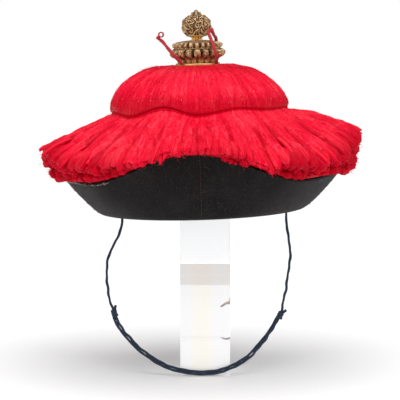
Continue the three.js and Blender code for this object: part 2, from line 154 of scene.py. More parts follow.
def meshFrom(name, points, faces, material, lie=None, shade=None):
    mesh = bpy.data.meshes.new(name)
    mesh.from_pydata(np.asarray(points).reshape(-1, 3).tolist(), [], faces)
    mesh.polygons.foreach_set("use_smooth", [True] * len(mesh.polygons))
    if lie is not None:
        values = mesh.attributes.new("lie", "FLOAT_VECTOR", "POINT")
        values.data.foreach_set("vector", np.asarray(lie, np.float32).ravel())
    if shade is not None:
        values = mesh.attributes.new("shade", "FLOAT", "POINT")
        values.data.foreach_set("value", np.asarray(shade, np.float32).ravel())
    mesh.update()
    return addObject(name, mesh, material)


def ringFaces(columns, rows):
    here = np.arange(columns)[:, None] * rows
    after = np.roll(np.arange(columns), -1)[:, None] * rows
    row = np.arange(rows)[None, :]
    above = np.roll(np.arange(rows), -1)[None, :]
    corners = np.stack([here + row, after + row, after + above, here + above], -1)
    return corners.reshape(-1, 4).tolist()


def ringPiece(name, section, azimuth, along, material, shade=None):
    # a ring from sections of (radius, height), columns by rows, counter-clockwise; each point
    # also keeps where it lies along the round and the strand, for the material
    columns, rows = section.shape[:2]
    azimuth = np.broadcast_to(azimuth, (columns, rows))
    along = np.broadcast_to(along, (columns, rows))
    points = toPart(polar(section[..., 0], azimuth, section[..., 1]))
    turn = np.radians(azimuth)
    lie = np.stack([0.09 * np.sin(turn), 0.09 * np.cos(turn), along * 0.001], -1)
    return meshFrom(name, points, ringFaces(columns, rows), material, lie, shade)


def finishPiece(piece, nodes):
    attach(piece, "root")
    if nodes:
        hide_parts(*nodes)


def startTree(name, **sockets):
    # a new tree of geometry nodes, with an input of the given kind for each name
    tree = bpy.data.node_groups.new(name, "GeometryNodeTree")
    for key, kind in {"Geometry": "Geometry", **sockets, "Finish": "Material"}.items():
        tree.interface.new_socket(key, in_out="INPUT", socket_type="NodeSocket" + kind)
    tree.interface.new_socket("Geometry", in_out="OUTPUT", socket_type="NodeSocketGeometry")
    return tree, tree.nodes.new("NodeGroupInput").outputs


def endTree(tree, geometry, finish):
    shown = addNode(tree, "GeometryNodeRealizeInstances", {"Geometry": geometry}).outputs[0]
    shown = addNode(tree, "GeometryNodeSetMaterial", {"Geometry": shown, "Material": finish}).outputs[0]
    tree.links.new(shown, tree.nodes.new("NodeGroupOutput").inputs[0])
    return tree


def strandTree():
    # sweeps a round section along every line of points, with grooves that run along it
    tree, given = startTree("swept strands", Sides="Int", Relief="Float", Grain="Float", Seed="Float")

    def named(name, kind):
        node = addNode(tree, "GeometryNodeInputNamedAttribute", {"Name": name}, data_type=kind)
        return node.outputs["Attribute"]

    def keep(geometry, name, value):
        sockets = {"Geometry": geometry, "Name": name, "Value": value}
        settings = {"data_type": "FLOAT_VECTOR", "domain": "POINT"}
        return addNode(tree, "GeometryNodeStoreNamedAttribute", sockets, **settings).outputs[0]

    def vector(operation, sockets):
        return addNode(tree, "ShaderNodeVectorMath", sockets, operation=operation).outputs[0]

    size = named("size", "FLOAT")
    lines = addNode(tree, "GeometryNodeMeshToCurve", {"Mesh": given["Geometry"]}).outputs[0]
    lines = addNode(tree, "GeometryNodeSetCurveRadius", {"Curve": lines, "Radius": size}).outputs[0]
    circle = {"Resolution": given["Sides"], "Radius": 1.0}
    ring = addNode(tree, "GeometryNodeCurvePrimitiveCircle", circle).outputs[0]
    ring = keep(ring, "side", tree.nodes.new("GeometryNodeInputPosition").outputs[0])
    sockets = {"Curve": lines, "Profile Curve": ring, "Fill Caps": True}
    swept = addNode(tree, "GeometryNodeCurveToMesh", sockets)
    if "Scale" in swept.inputs:
        tree.links.new(size, swept.inputs["Scale"])
    side = vector("SCALE", {0: named("side", "FLOAT_VECTOR"), 3: 0.006})
    lie = vector("ADD", {0: named("lie", "FLOAT_VECTOR"), 1: side})
    noise = {"Vector": lie, "W": given["Seed"], "Scale": given["Grain"], "Detail": 2.0}
    grain = addNode(tree, "ShaderNodeTexNoise", noise, noise_dimensions="4D").outputs[0]
    deep = mathNode(tree, "MULTIPLY", mathNode(tree, "SUBTRACT", grain, 0.5), given["Relief"])
    normal = tree.nodes.new("GeometryNodeInputNormal").outputs[0]
    offset = vector("SCALE", {0: normal, 3: mathNode(tree, "MULTIPLY", deep, size)})
    sockets = {"Geometry": swept.outputs[0], "Offset": offset}
    moved = addNode(tree, "GeometryNodeSetPosition", sockets).outputs[0]
    moved = keep(moved, "lie", lie)
    moved = addNode(tree, "GeometryNodeSetShadeSmooth", {"Geometry": moved}).outputs[0]
    return endTree(tree, moved, given["Finish"])


def speckTree():
    # a small rough grain on every point, turned and sized by chance
    tree, given = startTree("scattered specks", Size="Float", Seed="Int")
    chances = []
    for low, high in (((0.0, 0.0, 0.0), (6.28, 6.28, 6.28)), ((0.4, 0.4, 0.3), (1.6, 1.0, 0.6))):
        sockets = {0: low, 1: high, "Seed": given["Seed"]}
        node = addNode(tree, "FunctionNodeRandomValue", sockets, data_type="FLOAT_VECTOR")
        chances.append(node.outputs[0])
    ball = {"Radius": given["Size"], "Subdivisions": 2}
    grain = addNode(tree, "GeometryNodeMeshIcoSphere", ball).outputs[0]
    placed = addNode(tree, "GeometryNodeInstanceOnPoints", {
        "Points": given["Geometry"], "Instance": grain, "Rotation": chances[0], "Scale": chances[1],
    }).outputs[0]
    return endTree(tree, placed, given["Finish"])


def grow(name, mesh, tree, values):
    # runs a node tree on a mesh of points or lines and keeps the result as a plain piece
    base = bpy.data.objects.new(name + "_base", mesh)
    scene.collection.objects.link(base)
    modifier = base.modifiers.new("grow", "NODES")
    modifier.node_group = tree
    for item in tree.interface.items_tree:
        if item.in_out == "INPUT" and item.name in values:
            modifier[item.identifier] = values[item.name]
    grown = base.evaluated_get(bpy.context.evaluated_depsgraph_get())
    result = bpy.data.meshes.new_from_object(grown)
    result.name = name
    bpy.data.objects.remove(base)
    piece = bpy.data.objects.new(name, result)
    scene.collection.objects.link(piece)
    return piece


def lineMesh(name, lines, size, lie, shade):
    # lines of points in metres, all with as many points; the other values are one for each point
    lines = np.asarray(lines, float)
    count, length = lines.shape[:2]
    here = (np.arange(count)[:, None] * length + np.arange(length - 1)[None, :]).ravel()
    mesh = bpy.data.meshes.new(name)
    mesh.from_pydata(lines.reshape(-1, 3).tolist(), np.stack([here, here + 1], -1).tolist(), [])
    for key, kind, field, values in (("size", "FLOAT", "value", size), ("shade", "FLOAT", "value", shade),
                                     ("lie", "FLOAT_VECTOR", "vector", lie)):
        shape = (count, length, 3) if field == "vector" else (count, length)
        stored = mesh.attributes.new(key, kind, "POINT")
        stored.data.foreach_set(field, np.broadcast_to(values, shape).astype(np.float32).ravel())
    return mesh


def newMaterial(name):
    material = bpy.data.materials.new(name)
    material.use_nodes = True
    return material, material.node_tree, material.node_tree.nodes["Principled BSDF"]


def addNode(tree, kind, sockets=None, **settings):
    node = tree.nodes.new(kind)
    for key, value in settings.items():
        setattr(node, key, value)
    for key, value in (sockets or {}).items():
        if isinstance(value, bpy.types.NodeSocket):
            tree.links.new(value, node.inputs[key])
        else:
            node.inputs[key].default_value = value
    return node


def noiseNode(tree, vector, scale, detail=4, roughness=0.55):
    settings = {"Vector": vector, "Scale": scale, "Detail": detail, "Roughness": roughness}
    return addNode(tree, "ShaderNodeTexNoise", settings).outputs["Fac"]


def scaledNode(tree, vector, scale):
    return addNode(tree, "ShaderNodeMapping", {"Vector": vector, "Scale": scale}).outputs[0]


def rampNode(tree, factor, stops):
    ramp = addNode(tree, "ShaderNodeValToRGB", {"Fac": factor})
    elements = ramp.color_ramp.elements
    while len(elements) < len(stops):
        elements.new(0.5)
    for element, (place, colour) in zip(elements, stops):
        element.position = place
        element.color = (*colour, 1)
    return ramp.outputs[0]


def mixNode(tree, factor, first, second, blend="MIX"):
    node = addNode(tree, "ShaderNodeMix", data_type="RGBA", blend_type=blend)
    for socket, value in ((node.inputs[0], factor), (node.inputs[6], first), (node.inputs[7], second)):
        if isinstance(value, bpy.types.NodeSocket):
            tree.links.new(value, socket)
        elif isinstance(value, tuple):
            socket.default_value = (*value, 1)
        else:
            socket.default_value = value
    return node.outputs[2]


def mathNode(tree, operation, first, second=0.0):
    return addNode(tree, "ShaderNodeMath", {0: first, 1: second}, operation=operation).outputs[0]


def rangeNode(tree, value, source, target):
    names = ("Value", "From Min", "From Max", "To Min", "To Max")
    return addNode(tree, "ShaderNodeMapRange", dict(zip(names, (value, *source, *target)))).outputs[0]


def bumpNode(tree, height, strength, distance, normal=None):
    sockets = {"Height": height, "Strength": strength, "Distance": distance}
    if normal is not None:
        sockets["Normal"] = normal
    return addNode(tree, "ShaderNodeBump", sockets).outputs[0]


def objectCoords(tree):
    return addNode(tree, "ShaderNodeTexCoord").outputs["Object"]


def attribute(tree, name, output="Vector"):
    return addNode(tree, "ShaderNodeAttribute", attribute_name=name).outputs[output]


def setSockets(shader, **values):
    for key, value in values.items():
        name = key.replace("_", " ")
        shader.inputs[name].default_value = (*value, 1) if isinstance(value, tuple) else value


flossGrains = {
    # scale across and along the lie, detail, roughness, share in the colour
    "strands": ((760, 760, 75), 3, 0.6, 0.28),
    "locks": ((170, 170, 24), 4, 0.6, 0.24),
    "fuzz": ((620, 620, 380), 2, 0.6, 0.27),
    "patches": ((28, 28, 40), 3, 0.5, 0.21),
}
flossReds = {
    # linear colours: the painted shade of the hollows, then the deep, the middle and the bright strands
    "hollow": (0.44, 0.0001, 0.009),
    "deep": (0.62, 0.0002, 0.016),
    "middle": (0.82, 0.003, 0.03),
    "bright": (1.0, 0.05, 0.08),
}


def makeFloss(name, darkenBy, rough):
    # silk floss: fine strands drawn out along the lie, in several reds; the second argument shifts all the
    # reds darker, and the shade attribute mixes in the painted shade colour
    material, tree, shader = newMaterial(name)
    lie = attribute(tree, "lie")
    grains, total = {}, 0.0
    for key, (scale, detail, roughness, share) in flossGrains.items():
        grains[key] = noiseNode(tree, scaledNode(tree, lie, scale), 1, detail, roughness)
        total = mathNode(tree, "ADD", total, mathNode(tree, "MULTIPLY", grains[key], share))
    places = (("deep", 0.41), ("middle", 0.5), ("bright", 0.6))
    reds = rampNode(tree, total, [(place + darkenBy, flossReds[key]) for key, place in places])
    # painted shade: the shade attribute mixes the reds towards the hollow colour
    shaded = mixNode(tree, attribute(tree, "shade", "Fac"), reds, flossReds["hollow"])
    tree.links.new(shaded, shader.inputs["Base Color"])
    normal = bumpNode(tree, grains["fuzz"], 0.3, 0.0005)
    normal = bumpNode(tree, grains["strands"], 0.28, 0.0005, normal)
    normal = bumpNode(tree, grains["locks"], 0.45, 0.0014, normal)
    tree.links.new(normal, shader.inputs["Normal"])
    setSockets(shader, Roughness=rough, Specular_IOR_Level=0.15, Specular_Tint=(1.0, 0.25, 0.35))
    return material


def makeFelt():
    material, tree, shader = newMaterial("felt")
    place = objectCoords(tree)
    mottle = noiseNode(tree, place, 34, 6, 0.6)
    nap = noiseNode(tree, place, 900, 3, 0.7)
    wool = noiseNode(tree, place, 2600, 2, 0.6)
    colour = rampNode(tree, mottle, [(0.34, (0.0045, 0.0041, 0.0043)), (0.52, (0.0068, 0.006, 0.0063)),
                                     (0.7, (0.012, 0.0108, 0.0112))])
    flecks = rampNode(tree, nap, [(0.5, (0, 0, 0)), (0.68, (1, 1, 1))])
    lit = mixNode(tree, mathNode(tree, "MULTIPLY", flecks, 0.5), colour, (0.036, 0.031, 0.029))
    tree.links.new(lit, shader.inputs["Base Color"])
    woolBump = bumpNode(tree, wool, 0.5, 0.0003)
    tree.links.new(bumpNode(tree, nap, 0.5, 0.0005, woolBump), shader.inputs["Normal"])
    setSockets(shader, Roughness=0.95, Specular_IOR_Level=0.12, Sheen_Weight=0.12, Sheen_Roughness=0.5,
               Sheen_Tint=(0.8, 0.76, 0.76))
    return material


def makeCordMaterial(name, dark, light, pitch):
    # twisted or woven cord: diagonal ridges along the length, with small threads
    material, tree, shader = newMaterial(name)
    along = addNode(tree, "ShaderNodeUVMap", uv_map="UVMap").outputs[0]
    thread = noiseNode(tree, scaledNode(tree, along, (40, 1600, 1)), 1, 3, 0.6)
    pitched = scaledNode(tree, along, (1, pitch, 1))
    wave = {"Vector": pitched, "Scale": 1.0, "Distortion": 1.2, "Detail": 2.0}
    bands = {"wave_type": "BANDS", "bands_direction": "DIAGONAL"}
    weave = addNode(tree, "ShaderNodeTexWave", wave, **bands).outputs["Fac"]
    blend = mathNode(tree, "MULTIPLY", mathNode(tree, "ADD", thread, weave), 0.5)
    tree.links.new(rampNode(tree, blend, [(0.25, dark), (0.75, light)]), shader.inputs["Base Color"])
    tree.links.new(bumpNode(tree, blend, 0.6, 0.0004), shader.inputs["Normal"])
    setSockets(shader, Roughness=0.9, Specular_IOR_Level=0.12, Sheen_Weight=0.1)
    return material


def makeGilt(name, bright, dark, cavity, rough):
    # worn gilt metal: bright on the high places, brown in the hollows
    material, tree, shader = newMaterial(name)
    place = objectCoords(tree)
    worn = noiseNode(tree, place, 210, 5, 0.6)
    spots = noiseNode(tree, place, 900, 3, 0.6)
    dirt = mathNode(tree, "ADD", attribute(tree, "shade", "Fac"), mathNode(tree, "MULTIPLY", worn, 0.5))
    colour = rampNode(tree, dirt, [(0.28, bright), (0.62, dark), (1.0, cavity)])
    tree.links.new(colour, shader.inputs["Base Color"])
    roughness = rangeNode(tree, dirt, (0.2, 1.0), (rough, min(rough + 0.4, 0.9)))
    tree.links.new(roughness, shader.inputs["Roughness"])
    tree.links.new(bumpNode(tree, spots, 0.25, 0.0003), shader.inputs["Normal"])
    setSockets(shader, Metallic=0.85, Specular_IOR_Level=0.5)
    return material


blockSetup = {
    # in metres: where the warm band's middle is, its half widths, and the height up to which levels are given
    "bandMiddle": -0.0035, "bandEdge": (0.007, 0.0125), "levelTop": 0.13,
}


def makeClear(name, colour, milk, glow, warmBand=None, paintedLidGlow=None, levels=()):
    # a block that lets light through, a little milky, with a painted glow that makes it shine as white as the
    # backdrop; a warm tint colours a band up its middle, and levels are the tones at chosen heights in
    # metres, for the faint lines that run across
    material, tree, shader = newMaterial(name)
    place = objectCoords(tree)
    wear = noiseNode(tree, place, 60, 4, 0.6)
    tree.links.new(rangeNode(tree, wear, (0.0, 1.0), (0.02, 0.12)), shader.inputs["Roughness"])
    # painted light: the block glows in its own colour
    setSockets(shader, Base_Color=colour, Transmission_Weight=1 - milk, IOR=1.003, Specular_IOR_Level=0.4,
               Emission_Color=colour, Emission_Strength=glow)
    if warmBand:
        axes = addNode(tree, "ShaderNodeSeparateXYZ", {"Vector": place}).outputs
        away = mathNode(tree, "ABSOLUTE", mathNode(tree, "SUBTRACT", axes[0], blockSetup["bandMiddle"]))
        band = rangeNode(tree, away, blockSetup["bandEdge"], (1.0, 0.0))
        bandMask = mathNode(tree, "MULTIPLY", band, mathNode(tree, "ADD", wear, 0.2))
        top = blockSetup["levelTop"]
        level = rangeNode(tree, axes[2], (0.0, top), (0.0, 1.0))
        tones = rampNode(tree, level, [(at / top, (shadeAndTone,) * 3) for at, shadeAndTone in levels])
        warmed = mixNode(tree, bandMask, colour, warmBand)
        tree.links.new(mixNode(tree, 1.0, warmed, tones, "MULTIPLY"), shader.inputs["Base Color"])
    if paintedLidGlow:
        # painted light: the block's upward faces glow white, so that its top looks as bright as the block
        # above it
        normal = addNode(tree, "ShaderNodeNewGeometry").outputs["Normal"]
        upward = addNode(tree, "ShaderNodeSeparateXYZ", {"Vector": normal}).outputs[2]
        paintedGlow = mathNode(tree, "MULTIPLY", mathNode(tree, "GREATER_THAN", upward, 0.5), paintedLidGlow)
        tree.links.new(paintedGlow, shader.inputs["Emission Strength"])
        setSockets(shader, Emission_Color=(1.0, 1.0, 1.0))
    return material


def makePlain(name, colour, rough):
    material, _, shader = newMaterial(name)
    setSockets(shader, Base_Color=colour, Roughness=rough, Specular_IOR_Level=0.15)
    return material


milkyLevels = [
    # height in metres, tone
    (0.0, 1.0), (0.0378, 1.0), (0.0386, 0.95), (0.0406, 0.96), (0.0414, 1.0), (0.0822, 1.0), (0.0829, 0.97),
    (0.0836, 1.0),
]
greyLevels = [
    (0.09, 0.975), (0.1, 0.975), (0.1015, 0.985), (0.1023, 1.03), (0.1031, 1.01), (0.13, 1.04),
]
finishes = {
    "cap": makeFloss("floss of the cap", 0.0, 0.42),
    "skirt": makeFloss("floss of the skirt", -0.01, 0.5),
    # this finish, on the cut ends and on the waist cord, is shifted darker as a whole: partly a duller tone
    # of its own, partly painted shade under the overhanging floss
    "ends": makeFloss("cut ends of floss", 0.08, 0.7),
    "felt": makeFelt(),
    "chin": makeCordMaterial("blue cord", (0.012, 0.018, 0.034), (0.045, 0.062, 0.098), 900),
    "tie": makeCordMaterial("red cord", (0.3, 0.014, 0.02), (0.62, 0.06, 0.065), 1200),
    "gilt": makeGilt("worn gilt", (0.6, 0.41, 0.22), (0.27, 0.155, 0.08), (0.07, 0.038, 0.022), 0.36),
    # the bright gilt's middle tone sits close to its bright one: partly the plate's and neck's own brighter
    # gilding, partly painted light for the neck in the ball's shade
    "gold": makeGilt("bright gilt", (1.0, 0.74, 0.28), (0.95, 0.6, 0.18), (0.5, 0.26, 0.07), 0.5),
    "clear": makeClear("clear block", (0.97, 0.975, 0.985), 0.3, 0.05),
    "milky": makeClear("milky block", (0.93, 0.93, 0.935), 0.9, 0.12, (0.95, 0.92, 0.82), None, milkyLevels),
    "grey": makeClear("grey block", (0.865, 0.84, 0.82), 0.94, 0.0, (0.87, 0.805, 0.755), 0.8, greyLevels),
    "lint": makePlain("lint", (0.85, 0.7, 0.66), 0.8),
    "stitch": makePlain("brown thread", (0.08, 0.05, 0.034), 0.8),
    "fray": makePlain("pale felt fibres", (0.55, 0.5, 0.48), 0.9),
    "scuff": makePlain("bluish scuff", (0.13, 0.17, 0.22), 0.9),
    "hair": makePlain("felt hair", (0.07, 0.058, 0.05), 0.9),
    "chip": makePlain("chipped edge", (0.55, 0.5, 0.47), 0.6),
}
print("materials made")


def catmull(points, step):
    # the smooth curve through chosen points, as the frame's cords take it, in even steps
    points = np.array(points, float)
    first, last = 2 * points[0] - points[1], 2 * points[-1] - points[-2]
    knots = np.vstack([first, points, last])
    line = [points[0]]
    for a, b, c, d in zip(knots, knots[1:], knots[2:], knots[3:]):
        times = np.cumsum([0] + [np.linalg.norm(q - p) ** 0.5 for p, q in ((a, b), (b, c), (c, d))])
        for t in np.linspace(times[1], times[2], 25)[1:, None]:
            ab = mix(a, b, (t - times[0]) / (times[1] - times[0]))
            bc = mix(b, c, (t - times[1]) / (times[2] - times[1]))
            cd = mix(c, d, (t - times[2]) / (times[3] - times[2]))
            abc = mix(ab, bc, (t - times[0]) / (times[2] - times[0]))
            bcd = mix(bc, cd, (t - times[1]) / (times[3] - times[1]))
            line.append(mix(abc, bcd, (t - times[1]) / (times[2] - times[1])))
    line = np.array(line)
    return evenly(line, max(int(runAlong(line)[-1] / step), 8))


def lengthOf(path):
    return float(runAlong(path)[-1])


def tube(name, path, radiusAt, sides, material):
    # a tube round a path in metres; radiusAt gives the radius at a run along it and an angle round it
    path = np.asarray(path, float)
    tangents = np.gradient(path, axis=0)
    tangents /= np.linalg.norm(tangents, axis=1)[:, None]
    side = np.cross(tangents[0], (0, 0, 1) if abs(tangents[0][2]) < 0.9 else (0, 1, 0))
    sideways = []
    for tangent in tangents:
        side = side - tangent * (side @ tangent)
        side = side / np.linalg.norm(side)
        sideways.append(side)
    sideways = np.array(sideways)
    other = np.cross(tangents, sideways)
    run = runAlong(path)
    angle = np.arange(sides) * 2 * math.pi / sides
    radius = np.broadcast_to(radiusAt(run[:, None], angle[None, :]), (len(path), sides))
    turned = np.stack([np.cos(angle), np.sin(angle)])[:, None, :, None]
    outward = sideways[:, None] * turned[0] + other[:, None] * turned[1]
    points = path[:, None] + outward * radius[..., None]
    rings = len(path)
    faces = []
    for ring in range(rings - 1):
        for n in range(sides):
            a, b = ring * sides + n, ring * sides + (n + 1) % sides
            faces.append((a, b, b + sides, a + sides))
    faces.append(tuple(range(sides))[::-1])
    faces.append(tuple(range((rings - 1) * sides, rings * sides)))
    mesh = bpy.data.meshes.new(name)
    mesh.from_pydata(points.reshape(-1, 3).tolist(), [], faces)
    mesh.polygons.foreach_set("use_smooth", [True] * len(mesh.polygons))
    sheet = mesh.uv_layers.new(name="UVMap")
    for face in mesh.polygons:
        for corner in face.loop_indices:
            vertex = mesh.loops[corner].vertex_index
            sheet.data[corner].uv = (vertex % sides / sides, run[vertex // sides])
    mesh.update()
    return addObject(name, mesh, material)


chinSetup = {
    "diameter": 2.2,
    "spacing": 2.6,
    "turn": 55,
    "topDepth": -18,
    "footDepth": -28.3,
    "knotTurns": 3,
    "knotHalf": 3.2,
    "knotReach": 1.9,
    "knotCord": 1.4,
    # routes in the part's own frame, sideways and height
    "left": [
        (-91, 184), (-88, 175), (-84.8, 166), (-84, 156), (-87.5, 143.5), (-93.5, 131.5), (-98, 121),
        (-99.7, 108), (-99.2, 94), (-97.5, 81), (-94.8, 71), (-92.2, 64.5),
    ],
    "shared": [
        (-90.8, 61.2), (-88.6, 56), (-85.5, 50.3), (-81.5, 44.5), (-76.5, 38.5), (-71, 32.5), (-64.2, 26),
        (-56, 20), (-46.8, 14), (-33.5, 8), (-16, 4.3), (-2, 3.2), (12, 4.4), (24, 8), (36.5, 14), (45, 20),
        (51, 26), (56.5, 32.5), (61.5, 38.7), (66, 45), (69.8, 51), (72.6, 55.8), (74.6, 59.2),
    ],
    "right": [
        (76.2, 62.4), (78, 69.5), (79.8, 79), (82.2, 90), (83.4, 101), (85, 111), (86.2, 121), (85.8, 130),
        (84.5, 140), (83, 150), (82, 160), (82, 168), (83, 177), (85.2, 186),
    ],
}


def chinPoint(x, z):
    top = chinSetup["left"][0][1]
    return np.array([x, mix(chinSetup["topDepth"], chinSetup["footDepth"], (top - z) / top), z])


def chinStrand(side):
    # one of the two strands that run side by side between the knots
    shared = np.array(chinSetup["shared"], float)
    last = len(shared) - 1
    strand = []
    for index, (x, z) in enumerate(shared):
        along = shared[min(index + 1, last)] - shared[max(index - 1, 0)]
        along = along / np.linalg.norm(along)
        shift = (mix(-0.5, 0.5, index / last) + side / 2) * chinSetup["spacing"]
        turn = math.radians(chinSetup["turn"]) * smooth(index / last, 0.6, 0.9)
        point = chinPoint(x - along[1] * shift * math.cos(turn), z + along[0] * shift * math.cos(turn))
        point[1] += shift * math.sin(turn)
        strand.append(point)
    return strand


def chinProfile(run, angle):
    # four plies twisted together, a little uneven along the length
    radius = chinSetup["diameter"] / 2000
    plies = np.abs(np.cos(2 * (angle + run * 900)))
    uneven = 0.09 * np.sin(run * 210) + 0.07 * np.sin(run * 487 + 1)
    return radius * (1.06 + 0.18 * plies + uneven)


def chinKnot(name, single, after):
    # a sliding knot: a few turns of the cord wound round the other cord, with a cut end
    middle = np.array(single[-1]) * 0.001
    axis = np.array(after) * 0.001 - np.array(single[-2]) * 0.001
    axis /= np.linalg.norm(axis)
    side = np.cross(axis, (0, 1, 0))
    side /= np.linalg.norm(side)
    other = np.cross(axis, side)
    path = []
    half = chinSetup["knotHalf"] * 0.001
    for step in np.linspace(0, 1, 64):
        turn = step * chinSetup["knotTurns"] * 2 * math.pi
        reach = chinSetup["knotReach"] * 0.001 + 0.0003 * math.sin(turn * 0.7)
        outward = side * math.cos(turn) + other * math.sin(turn)
        path.append(middle + axis * mix(half, -half, step) + reach * outward)
    tail = path[-1] + np.linspace(0, 1, 10)[1:, None] * (side * 0.002 - axis * half + other * 0.001)
    route = catmull(np.vstack([path, tail]), 0.0005)
    return tube(name, route, lambda run, angle: chinSetup["knotCord"] * 0.001, 12, finishes["chin"])


def makeChinLoop():
    left = [chinPoint(x, z) for x, z in chinSetup["left"]]
    right = [chinPoint(x, z) for x, z in chinSetup["right"]][::-1]
    upper, lower = chinStrand(1), chinStrand(-1)[::-1]
    knots = {
        "left": chinKnot("chin_knot_left_wound", left, upper[0]),
        "right": chinKnot("chin_knot_right_wound", right, lower[0]),
    }
    routes = {"left": left + upper, "right": right + lower}
    for side, far in (("left", "right"), ("right", "left")):
        path = catmull(routes[side], 0.8) * 0.001
        run = np.linspace(0, lengthOf(path), len(path))
        path[:, 0] += 0.0003 * (np.sin(run * 330) + np.sin(run * 570 + 2)) * np.sin(np.pi * run / run[-1])
        cord = tube(f"chin_cord_{side}_twisted", path, chinProfile, 16, finishes["chin"])
        finishPiece(cord, [f"chin_cord_{side}"])
        finishPiece(knots[side], [f"chin_knot_{side}"])
        print("chin cord", side, round(lengthOf(path), 4), "m")


makeChinLoop()

tieSetup = {
    "diameter": 2.6,
    "knotRadius": 2.3,
    "loopRadius": 2.3,
    "capTop": 147.6,
    # routes in the hat's frame: sideways, depth and rise above the top of the cap
    "red_tie_left": [
        (-16, -18.7, 1.2), (-16.8, -19.6, 3), (-23, -24.5, 10), (-29.8, -23, 18.5), (-34.6, -21, 24.7),
        (-37, -20, 26.6),
    ],
    "red_tie_right_front": [
        (18.6, -15.8, 1.1), (19, -17, 3), (18.6, -27.4, 11), (16, -25.5, 20), (13, -17.5, 28.5),
        (11.6, -13.8, 32.4), (13.2, -12.6, 33.6),
    ],
    "red_tie_right_back": [
        (15.4, -8, 33.6), (17.5, -2, 29.4), (19.5, 8, 26), (19.5, 19.5, 21.5), (19.8, 26, 11.5),
        (17.8, 19.6, 3), (17.4, 18, 1.2),
    ],
}


def tieProfile(run, angle):
    # a flat cord of two plies, twisted
    radius = tieSetup["diameter"] / 2000
    turned = angle + run * 260
    return radius * (1.02 + 0.34 * np.abs(np.cos(turned)) + 0.05 * np.cos(9 * turned))


def loopProfile(run, angle):
    return 0.0008 * (0.95 + 0.15 * np.cos(2 * angle + run * 900))


def tieKnot(name, end, along):
    # an overhand knot, drawn tight
    radius = tieSetup["knotRadius"] * 0.001
    side = np.cross(along, (0, 1, 0))
    side /= np.linalg.norm(side)
    other = np.cross(along, side)
    middle = end + along * (radius + 0.0003)
    path = []
    for t in np.linspace(0.3, 2 * math.pi - 0.3, 40):
        ring = (2 + math.cos(3 * t)) / 3
        swung = ring * (math.cos(2 * t) * side + math.sin(2 * t) * along)
        path.append(middle + radius * 0.62 * (swung + 0.7 * math.sin(3 * t) * other))
    return tube(name, catmull(np.array(path), 0.0003), lambda run, angle: 0.001, 10, finishes["tie"])


def tieRoute(name):
    return toPart([(x, y, tieSetup["capTop"] + rise) for x, y, rise in tieSetup[name]])


def makeTies():
    knots = {}
    for side, route in (("left", "red_tie_left"), ("right", "red_tie_right_front")):
        points = tieRoute(route)
        along = points[-1] - points[-2]
        along /= np.linalg.norm(along)
        knots[route] = tieKnot(f"tie_knot_{side}_drawn", points[-1], along)
        finishPiece(knots[route], [f"tie_knot_{side}"])
    low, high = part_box("tie_loop_left")
    middle = (np.array(low) + np.array(high)) / 2
    radius = tieSetup["loopRadius"] * 0.001
    turns = np.linspace(0, 2 * math.pi * 1.04, 50)
    path = [middle + (radius * math.cos(t), 0.0006 * math.sin(t / 2), radius * math.sin(t)) for t in turns]
    loop = tube("tie_loop_left_bent", path, loopProfile, 10, finishes["tie"])
    finishPiece(loop, ["tie_loop_left"])
    for route in ("red_tie_left", "red_tie_right_front", "red_tie_right_back"):
        path = catmull(tieRoute(route), 0.0005)
        cord = tube(route + "_twisted", path, tieProfile, 20, finishes["tie"])
        finishPiece(cord, [route])
        held = [knots[route]] if route in knots else []
        held += [loop] if route == "red_tie_left" else []
        print(route, round(lengthOf(path), 4), "m")


makeTies()

crownSetup = {
    "radius": 95, "height": 146.4, "fullness": 2.4, "wall": 2, "dents": 0.25, "columns": 120, "rows": 36,
}


def crownPoint(angle, offset):
    # a place on the dome, 0 at its foot and 90 at its top; offset moves it out of the felt's outside
    power = 2 / crownSetup["fullness"]
    radius = (crownSetup["radius"] + offset) * np.cos(np.radians(angle)) ** power
    return radius, (crownSetup["height"] + offset) * np.sin(np.radians(angle)) ** power


def crownAngle(height, offset):
    share = height / (crownSetup["height"] + offset)
    return np.degrees(np.arcsin(share ** (crownSetup["fullness"] / 2)))


def makeCrown(setup):
    columns, rows = setup["columns"], setup["rows"]
    angles = 88.8 * np.linspace(0, 1, rows) ** 0.92
    azimuth = np.arange(columns)[:, None] * 360 / columns
    dents = setup["dents"] * ripple(3, azimuth, np.linspace(0, 6, rows)[None, :], (1, 9), 2)
    outside, inside = [np.repeat(np.stack(crownPoint(angles, offset), -1)[None], columns, 0)
                       for offset in (0.0, -setup["wall"])]
    outside[..., 0] -= 0.15 + 0.5 * dents
    inside[..., 0] += 0.1
    section = np.concatenate([outside, inside[:, ::-1]], 1)
    along = np.concatenate([angles, angles[::-1]])
    piece = ringPiece("crown_felt", section, azimuth, along[None, :], finishes["felt"])
    finishPiece(piece, ["crown"])


brimSetup = {
    "wall": 2.4, "foldRadius": 5.5, "innerHeight": 24, "sideHeight": 36.4, "peakHeight": 65.2,
    "sideReach": 37, "peakReach": 22.5, "peakSpread": 50, "turn": -3, "roll": 1.2, "gap": 0.3,
    "seamAzimuth": -0.4, "seamDepth": 0.35, "seamWidth": 0.7, "bow": 0.5, "meanRadius": 130, "meanHeight": 60,
    "columns": 320,
}
brimTable = [
    # azimuth, height, reach
    (-90, 0, -0.04), (-65, 0.03, -0.04), (-45, 0, -0.02), (0, 0, 0), (45, -0.06, 0.01), (78, 0.01, 0.02),
    (100, -0.01, 0.02), (180, 0, 0),
]
legRadius = crownSetup["radius"] + brimSetup["gap"] + brimSetup["wall"] / 2
foldCentre = legRadius + brimSetup["foldRadius"]
foldHeight = brimSetup["foldRadius"] + brimSetup["wall"] / 2


